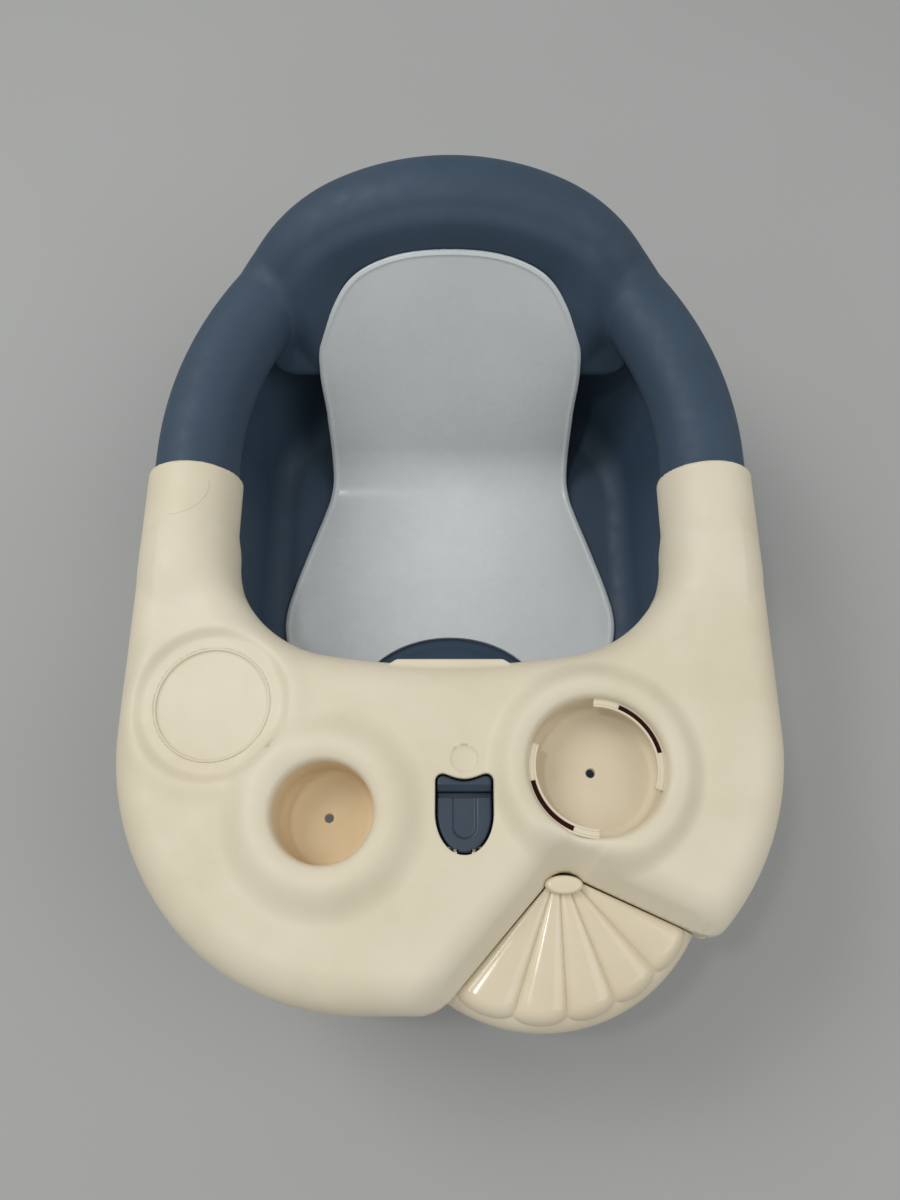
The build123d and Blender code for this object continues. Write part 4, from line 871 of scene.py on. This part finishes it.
def tray_body(x, y, z):
    """The tray as if it were solid and had no underside."""
    dish = np.hypot(x - RECESS["x"], y - RECESS["y"])
    lift = rim_lift(x, y, LEFT_WELL) + rim_lift(x, y, RIGHT_WELL)
    lift = lift + 1.3 * np.exp(-((dish - RECESS["ridge"]) / 6.5) ** 2)
    inside = np.clip((RECESS["rim"] - dish) / 7, 0, 1)
    lift = lift - RECESS["depth"] * inside * inside * (3 - 2 * inside)
    lift = lift - 1.6 * np.clip((RECESS["floor"] - dish) / 1.5, 0, 1)
    finger = np.hypot(x - LEVER["x"], y - FINGER_DISH["y"]) / FINGER_DISH["radius"]
    lift = lift - FINGER_DISH["depth"] * np.sqrt(np.clip(1 - finger ** 2, 0, 1))
    at_wing = np.clip((y + 34.0) / 40, 0, 1) * np.clip((168.0 - np.abs(x)) / 22, 0, 1)
    a = tray_plan(x, y) + EDGE + 3.0 * at_wing * at_wing * (3 - 2 * at_wing)
    b = z - lift - TOP + EDGE
    form = (np.minimum(np.maximum(a, b), 0) + np.hypot(np.maximum(a, 0), np.maximum(b, 0)) - EDGE)
    form = overlap(form, y - 20.0 + 0 * form, 12.0)
    bar = overlap(sleeve(x, y, z, SLEEVE["radius"]), y - SLEEVE["rear"] + 0 * form, 1.2)
    soft = 0.8 + 8.0 * np.clip((186.0 - np.abs(x)) / 14, 0, 1)
    body = join(form, bar, soft)
    body = cut(body, well_room(x, y, z, LEFT_WELL), 2.2)
    body = cut(body, well_room(x, y, z, RIGHT_WELL), 2.2)
    slope = (fan_wedge(x, y) - NOTCH["gap"]
             - NOTCH["slope"] * np.clip(z - NOTCH["slope_from"], 0, 40))
    slope = slope / np.where(z > NOTCH["slope_from"] - 1, math.hypot(1, NOTCH["slope"]), 1.0)
    notch = overlap(slope, NOTCH["low"] - z + 0 * form, 1.0)
    body = cut(body, notch, 7.0)
    beyond = np.hypot(x - rim_arc[0][0], y - rim_arc[0][1]) - rim_arc[1] - NOTCH["gap"]
    return cut(body, overlap(slope, -beyond, 1.0), 1.5)


def box_gap(x, y, z, low, high):
    """Largest overstep of a box's six sides: negative inside it."""
    gaps = [low[0] - x, x - high[0], low[1] - y, y - high[1], low[2] - z, z - high[2]]
    total = gaps[0]
    for gap in gaps[1:]:
        total = np.maximum(total, gap)
    return total


def tray_shell(x, y, z):
    """The outermost wall of the body, with the sleeves' bores and the latch's openings."""
    body = tray_body(x, y, z)
    shell = overlap(np.maximum(body, -(body + WALL)), LOW - z + 0 * body, 1.0)
    tube = overlap(sleeve(x, y, z, SLEEVE["radius"]), y - SLEEVE["rear"] + 0 * body, 1.2)
    shell = np.minimum(shell, tube)
    shell = cut(shell, sleeve(x, y - 12.0, z, SLEEVE["bore"]), 0.6)
    for well in (LEFT_WELL, RIGHT_WELL):
        drain = np.hypot(x - well["x"], y - well["y"]) - DRAIN_RADIUS
        shell = cut(shell, drain + 0 * body, 0.4)
    shell = cut(shell, overlap(lever_plan(x, y) - 1.0, 162.0 - z + 0 * body, 0.3), 0.7)
    ends = np.abs(x) - 31.0 - 4.0 * np.clip((-63.5 - y) / 3, 0, 1)
    mouth = overlap(overlap(ends, np.maximum(y + 63.5, -78.0 - y), 1.5),
                    np.maximum(z - 165.5, 148.0 - z) + 0 * body, 1.5)
    shell = join(shell, mouth, 1.5)
    shell = np.maximum(shell, -box_gap(x, y, z, (-27.4, -88, 147.9), (27.4, -60, 162.3)))
    return np.maximum(shell, -box_gap(x, y, z, (-33.0, -78, 100.0), (33.0, -60, 148.0)))


xs = uneven_steps(-192, 192, 1.8,
                  ((LEVER["x"], 17.5), (LEFT_WELL["x"], 4.5), (RIGHT_WELL["x"], 4.5)))
ys = uneven_steps(-255, 62, 1.8, ((-151.0, 23.0), (RIGHT_WELL["y"], 9.0)))
zs = uneven_steps(118, 186, 1.8, ((174.0, 2.4),))
tray_points, tray_faces, tray_normals = surface_of(tray_shell, xs, ys, zs, thin_to=0.6)
print("tray box", tray_points.min(0).round(1), tray_points.max(0).round(1))
add_mesh("play_tray", tray_points, tray_faces, "tray", cream,
         tray_normals, ["tray"])

# %% [markdown]
# Under the tray, two ribs guide the post's tongue to a wall that it stops against, and two ears
# hold the latch's pin. They are small upright walls, so they get a finer grid of their own.

# %% The socket for the tongue


PIN = dict(y=-168.8, z=167.5)


def socket(x, y, z):
    """Two guide ribs, the floor between them, the stop wall and the two ears."""
    u = np.abs(x)
    rib = box_gap(u, y, z, (27.4, -180.6, 146.0), (29.6, -78.5, 173.6))
    floor = box_gap(u, y, z, (-1.0, -180.6, 146.0), (28.0, -119.0, 147.9))
    stop = box_gap(u, y, z, (-1.0, -180.6, 146.0), (29.6, -178.4, 173.6))
    v = np.abs(np.abs(x - LEVER["x"]) - 5.0)
    to_pin = np.hypot(y - PIN["y"], z - PIN["z"])
    eye = np.maximum(to_pin - 2.6, v - 1.1)
    arm = box_gap(v, y, z, (-1.0, -179.0, 164.9), (1.1, -171.4, 172.7))
    ear = np.maximum(np.minimum(eye, arm), -(to_pin - 1.55))
    return np.minimum(np.minimum(np.minimum(rib, floor), stop), ear)


xs = uneven_steps(-31, 31, 1.3, ((LEVER["x"], 7.0),), 0.55)
ys = uneven_steps(-182, -77, 1.8, ((-171.0, 9.0),), 0.6)
zs = uneven_steps(145, 175, 1.3)
socket_points, socket_faces, _ = surface_of(socket, xs, ys, zs, 2)
add_mesh("tray_socket", socket_points, socket_faces, "tray", cream)

# %% [markdown]
# Small crisp features would need a very fine grid, so they are revolved or swept instead. The
# recess has a thin raised bead round a flat dish, and the right well has two ledges near its
# rim that a toy twists under, each with a slot along its middle.

# %% Dish and ledges


def revolve(profile, centre, columns=160):
    """Rings of points: each (radius, z) of the profile turned round an upright axis."""
    a = np.linspace(0, 2 * math.pi, columns, endpoint=False)
    r, z = np.asarray(profile, float).T
    rings = np.stack([centre[0] + r[:, None] * np.cos(a), centre[1] + r[:, None] * np.sin(a),
                      z[:, None] + 0 * a], -1)
    return rings.reshape(-1, 3), grid_faces(len(r), columns, close_columns=True)


bead_turn = np.linspace(-0.35, math.pi + 0.35, 11)
DISH = TOP - RECESS["depth"]
bead_arc = np.stack([31.75 - 0.75 * np.cos(bead_turn), DISH - 0.35 + 0.75 * np.sin(bead_turn)], -1)
profile = [(0.05, DISH - 1.2), (12.0, DISH - 1.2), (24.0, DISH - 1.2), (29.0, DISH - 1.17),
           (30.2, DISH - 1.05), (30.7, DISH - 0.8)]
profile += list(map(tuple, bead_arc)) + [(33.4, DISH - 0.75), (33.6, DISH - 2.1), (0.05, DISH - 2.1)]
dish_points, dish_faces = revolve(profile, (RECESS["x"], RECESS["y"]), 200)
add_mesh("tray_recess", dish_points, dish_faces, "tray", cream)


def swept_bar(inner, outer, low, high, start, end):
    """A bar along an arc of the right well, from angle start to angle end.

    Its section is a rectangle with round corners: cosine and sine, each to the power 0.4."""
    a = np.radians(np.linspace(start, end, max(8, int(abs(end - start) / 2))))
    t = np.linspace(0, 2 * math.pi, 20, endpoint=False)
    c = np.sign(np.cos(t)) * np.abs(np.cos(t)) ** 0.4
    s = np.sign(np.sin(t)) * np.abs(np.sin(t)) ** 0.4
    shrink = np.ones(len(a))
    shrink[[0, -1]] = 0.02
    r = (inner + outer) / 2 + (outer - inner) / 2 * c[None, :] * shrink[:, None]
    z = (low + high) / 2 + (high - low) / 2 * s[None, :] * shrink[:, None]
    x = RIGHT_WELL["x"] + r * np.cos(a[:, None])
    y = RIGHT_WELL["y"] + r * np.sin(a[:, None])
    rings = np.stack([x, y, z], -1)
    rings = np.concatenate([rings[:1], rings[1:2], rings[1:-1], rings[-2:-1], rings[-1:]])
    rings[1, :, :2] += (rings[0] - rings[1])[:, :2].mean(0)
    rings[-2, :, :2] += (rings[-1] - rings[-2])[:, :2].mean(0)
    return rings.reshape(-1, 3), grid_faces(len(rings), len(t), close_columns=True)


def bars_on_both_sides(bars, low, high):
    """Points and faces of bars (inner, outer, start, end) on two opposite sides of the well."""
    points, faces, total = [], [], 0
    for turn in LEDGE_STARTS:
        for inner, outer, start, end in bars:
            p, f = swept_bar(inner, outer, low, high, turn + start, turn + end)
            points.append(p)
            faces.append(f[:, ::-1] + total)
            total += len(p)
    return np.concatenate(points), np.concatenate(faces)


LEDGE_STARTS, LEDGE_END = (-21.0, 159.0), 111
# The dark bars in the slots are painted shade, not a part of the tray.
slot_points, slot_faces = bars_on_both_sides([(33.6, 37.2, 32, 89)], TOP - 0.9, TOP + 0.6)
add_mesh("ledge_slot_shade", slot_points, slot_faces, "tray", slot_painted_shade)
ledge_points, ledge_faces = bars_on_both_sides(
    [(32.8, 34.1, 0, LEDGE_END), (36.7, 37.9, 0, LEDGE_END),
     (34.0, 36.8, 0, 33), (34.0, 36.8, 88, LEDGE_END)], TOP - 0.4, TOP + 2.0)
add_mesh("well_ledges", ledge_points, ledge_faces, "tray", cream)

# %% [markdown]
# The shell ornament is five flutes that fan out from a knob. Across a flute the surface is an
# arch, and the grooves between flutes deepen towards the rim, where each flute ends in a round
# lobe that stands on a smooth sloping border. So the surface is a grid of lines from the knob to
# the rim: u runs across the fan and v along the lines, and the height is the border's height
# plus an arch across each flute, which ends in a quarter round towards the border.

# %% The shell ornament
FAN_APEX = np.array([61.0, -187.5])
FAN_RIM = dict(x=49.0, y=-166.0, radius=96.0)
FAN_MIDDLE = np.array([58.0, -215.0])
FAN_START, FAN_END, FLUTES = -136.6, -19.9, 5
SKIRT_Z = 137.3
u = np.linspace(0, 1, 241)
v = np.concatenate([np.linspace(0, 0.76, 46), np.linspace(0.768, 1, 60)])
angle = np.radians(FAN_START + (FAN_END - FAN_START) * u)
way = np.stack([np.cos(angle), np.sin(angle)], -1)
to_centre = FAN_APEX - np.array([FAN_RIM["x"], FAN_RIM["y"]])
along = -(way @ to_centre) + np.sqrt((way @ to_centre) ** 2 - to_centre @ to_centre
                                     + FAN_RIM["radius"] ** 2) - 0.3
flute = (u * FLUTES) % 1.0
flute[-1] = 1.0
lobe = np.abs(2 * flute - 1)
side = 2 * u - 1
start = FAN_APEX + np.stack([9.8 * side, -0.1 + 1.4 * side + 1.5 * (1 - np.abs(side))], -1)
end = FAN_APEX + way * along[:, None]
across = start[None] * (1 - v[:, None, None]) + end[None] * v[:, None, None]
to_rim = (1 - v[:, None]) * along[None, :]
rise = np.clip(to_rim / 13.0, 0, 1)
base = 138.4 + 12.2 * np.sqrt(1 - (1 - rise) ** 2 * 0.998) + 4.0 * (1 - v[:, None])
arch = np.sqrt(1 - 0.985 * lobe[None, :] ** 2.8)
lobe_end = 4.5 + 6.0 * (1 - np.sqrt(1 - (0.96 * lobe[None, :]) ** 2))
ends = np.clip((to_rim - lobe_end) / 9.0, 0, 1)
height = 1.2 + 3.8 * v[:, None] ** 0.8
top = base + height * arch * np.sqrt(1 - (1 - ends) ** 2)
fan_grid = np.concatenate([across, top[..., None]], -1)
rows, columns = top.shape
index = np.arange(rows * columns).reshape(rows, columns)
edge_loop = np.concatenate([index[0, :], index[1:, -1], index[-1, -2::-1], index[-2:0:-1, 0]])
fan_points = fan_grid.reshape(-1, 3)
skirt = fan_points[edge_loop].copy()
skirt[:, 2] = SKIRT_Z
inward = skirt.copy()
inward[:, :2] = skirt[:, :2] + (FAN_MIDDLE - skirt[:, :2]) * 0.05
middle = skirt.copy()
middle[:, :2] = FAN_MIDDLE + (skirt[:, :2] - FAN_MIDDLE) * 0.02
faces = [grid_faces(rows, columns)[:, ::-1]]
n = len(edge_loop)
onward = (np.arange(n) + 1) % n
loops = [edge_loop] + [rows * columns + k * n + np.arange(n) for k in range(3)]
for above, below in zip(loops, loops[1:]):
    faces.append(np.stack([above, above[onward], below[onward], below], -1)[:, ::-1])
fan_all = np.concatenate([fan_points, skirt, inward, middle])
add_mesh("shell_ornament", fan_all, np.concatenate(faces), "tray",
         gloss_cream, stands_for=["fan_shell"])

KNOB = dict(x=61.0, y=-187.4, half_x=10.3, half_y=5.0, low=148.0, edge=158.2)
t = np.linspace(0, math.pi / 2, 12)
knob_rows = [(0.02, KNOB["low"]), (1.0, KNOB["low"]), (1.0, KNOB["edge"])]
knob_rows += [(0.72 + 0.28 * math.cos(a), KNOB["edge"] + 3.6 * math.sin(a)) for a in t[1:]]
knob_rows += [(0.4, 161.95), (0.02, 162.0)]
k = np.array(knob_rows)
a = np.linspace(0, 2 * math.pi, 96, endpoint=False)
knob = np.stack([KNOB["x"] + KNOB["half_x"] * k[:, :1] * np.cos(a),
                 KNOB["y"] + KNOB["half_y"] * k[:, :1] * np.sin(a), k[:, 1:] + 0 * a], -1)
add_mesh("shell_knob", knob.reshape(-1, 3),
         grid_faces(len(k), len(a), close_columns=True), "tray",
         gloss_cream)

# %% [markdown]
# The latch's lever is small and much looked at, so it gets a field of its own on a grid of
# 0.6 mm. Its rear lip is raised and has a concave edge that a fingertip catches. In front of the
# lip a slope runs down to a deep slit, and beyond it lies a pad with a shallow finger hollow.

# %% The latch's lever


def lever(x, y, z):
    """Plate with a raised lip, a slit and a finger hollow, with a hook and room for the ears."""
    plan = lever_plan(x, y) + 0 * z
    u = np.abs(x - LEVER["x"])
    lip = np.clip((y + 140.6) / 4.2, 0, 1)
    top = 171.3 + 2.3 * lip
    hollow = np.maximum(np.hypot(np.minimum(y + 158.0, 0), u) - 7.0, y + 140.0)
    top = top - 1.0 * np.clip(-hollow / 1.3, 0, 1) ** 1.3
    form = overlap(plan, z - top, 1.2)
    form = overlap(form, 165.6 - z + 0 * plan, 0.5)
    slit = np.maximum(np.abs(y + 141.3) - 1.5, 166.6 - z) + 0 * plan
    form = cut(form, slit, 0.4)
    hook = box_gap(x, y, z, (LEVER["x"] - 6, -138.6, 162.35), (LEVER["x"] + 6, -135.6, 166.5))
    form = np.minimum(form, hook)
    v = np.abs(np.abs(x - LEVER["x"]) - 5.0)
    ears = box_gap(v, y, z, (-1.0, -190.0, 150.0), (1.6, -165.7, 170.4))
    form = np.maximum(form, -ears)
    open_ends = box_gap(v, y, z, (-1.0, -190.0, 150.0), (1.6, -169.8, 180.0))
    form = np.maximum(form, -open_ends)
    to_pin = np.hypot(y - PIN["y"], z - PIN["z"])
    under_pin = np.maximum(np.abs(y - PIN["y"]) - 3.0, z - PIN["z"])
    spring = np.maximum(u - 2.8, np.minimum(to_pin - 3.0, under_pin))
    form = np.maximum(form, -spring)
    return np.maximum(form, -(to_pin - 1.6))


xs = uneven_steps(LEVER["x"] - 15.5, LEVER["x"] + 15.5, 0.6)
ys = uneven_steps(-173.0, -130.8, 0.6)
zs = uneven_steps(161.5, 174.4, 0.6)
lever_points, lever_faces, lever_normals = surface_of(lever, xs, ys, zs, 3)
add_mesh("latch_paddle", lever_points, lever_faces, "latch",
         slate, lever_normals, ["latch_lever"])

# %% [markdown]
# The floor is plain and pale grey. Daylight comes from a large soft source above and to the
# left, as a window gives, with a weaker one on the right to open the shadows. A small lamp
# overhead draws the thin bright lines along the ornament's glossy flutes. The camera looks down
# from in front, at the distance and the angle from which the seat is seen.

# %% Floor, light and camera
floor_material, floor_tree, floor_shader, floor_place = new_material("pale grey floor")
floor_shader.inputs["Roughness"].default_value = 0.85
cloud = node(floor_tree, "ShaderNodeTexNoise", sockets={"Scale": 2.0, "Detail": 2.0},
             links={"Vector": floor_place.outputs["Object"]})
floor_tone = node(floor_tree, "ShaderNodeValToRGB", links={"Fac": cloud.outputs["Fac"]})
floor_tone.color_ramp.elements[0].color = linear("A6A7A4")
floor_tone.color_ramp.elements[1].color = linear("AEAFAD")
floor_tree.links.new(floor_tone.outputs["Color"], floor_shader.inputs["Base Color"])
floor_mesh = bpy.data.meshes.new("studio_floor")
floor_mesh.from_pydata([(-4, -4, 0), (4, -4, 0), (4, 4, 0), (-4, 4, 0)], [], [(0, 1, 2, 3)])
studio_floor = bpy.data.objects.new("studio_floor", floor_mesh)
bpy.context.scene.collection.objects.link(studio_floor)
floor_mesh.materials.append(floor_material)


def soft_box(name, place, target, size, watts):
    """A square white area light at place, in metres, turned towards target."""
    lamp = bpy.data.lights.new(name, "AREA")
    lamp.energy = watts
    lamp.size = size
    holder = bpy.data.objects.new(name, lamp)
    way = np.array(target, float) - np.array(place, float)
    flat = math.hypot(way[0], way[1])
    holder.location = place
    holder.rotation_euler = (math.atan2(flat, -way[2]), 0, math.atan2(-way[0], way[1]))
    bpy.context.scene.collection.objects.link(holder)


soft_box("window", (-1.2, 0.6, 1.8), (0, -0.05, 0.15), 0.9, 15.5)
soft_box("lamp", (-0.35, -0.1, 1.5), (0.05, -0.2, 0.15), 0.1, 2.2)
soft_box("fill", (1.3, -0.3, 1.7), (0, 0, 0.15), 1.4, 9.0)
world = bpy.data.worlds.new("room")
world.use_nodes = True
world.node_tree.nodes["Background"].inputs["Color"].default_value = linear("F4F5F7")
world.node_tree.nodes["Background"].inputs["Strength"].default_value = 0.5
bpy.context.scene.world = world
bpy.context.scene.view_settings.view_transform = "Standard"

PHOTO_WIDTH, FOCAL_LENGTH = 900, 901
camera = bpy.data.cameras.new("camera")
camera.sensor_fit = "HORIZONTAL"
camera.sensor_width = 36.0
camera.lens = FOCAL_LENGTH / PHOTO_WIDTH * camera.sensor_width
camera_holder = bpy.data.objects.new("camera", camera)
camera_holder.location = (0.0, -0.2055, 0.664)
camera_holder.rotation_euler = (math.radians(19.6), 0, 0)
bpy.context.scene.collection.objects.link(camera_holder)
bpy.context.scene.camera = camera_holder
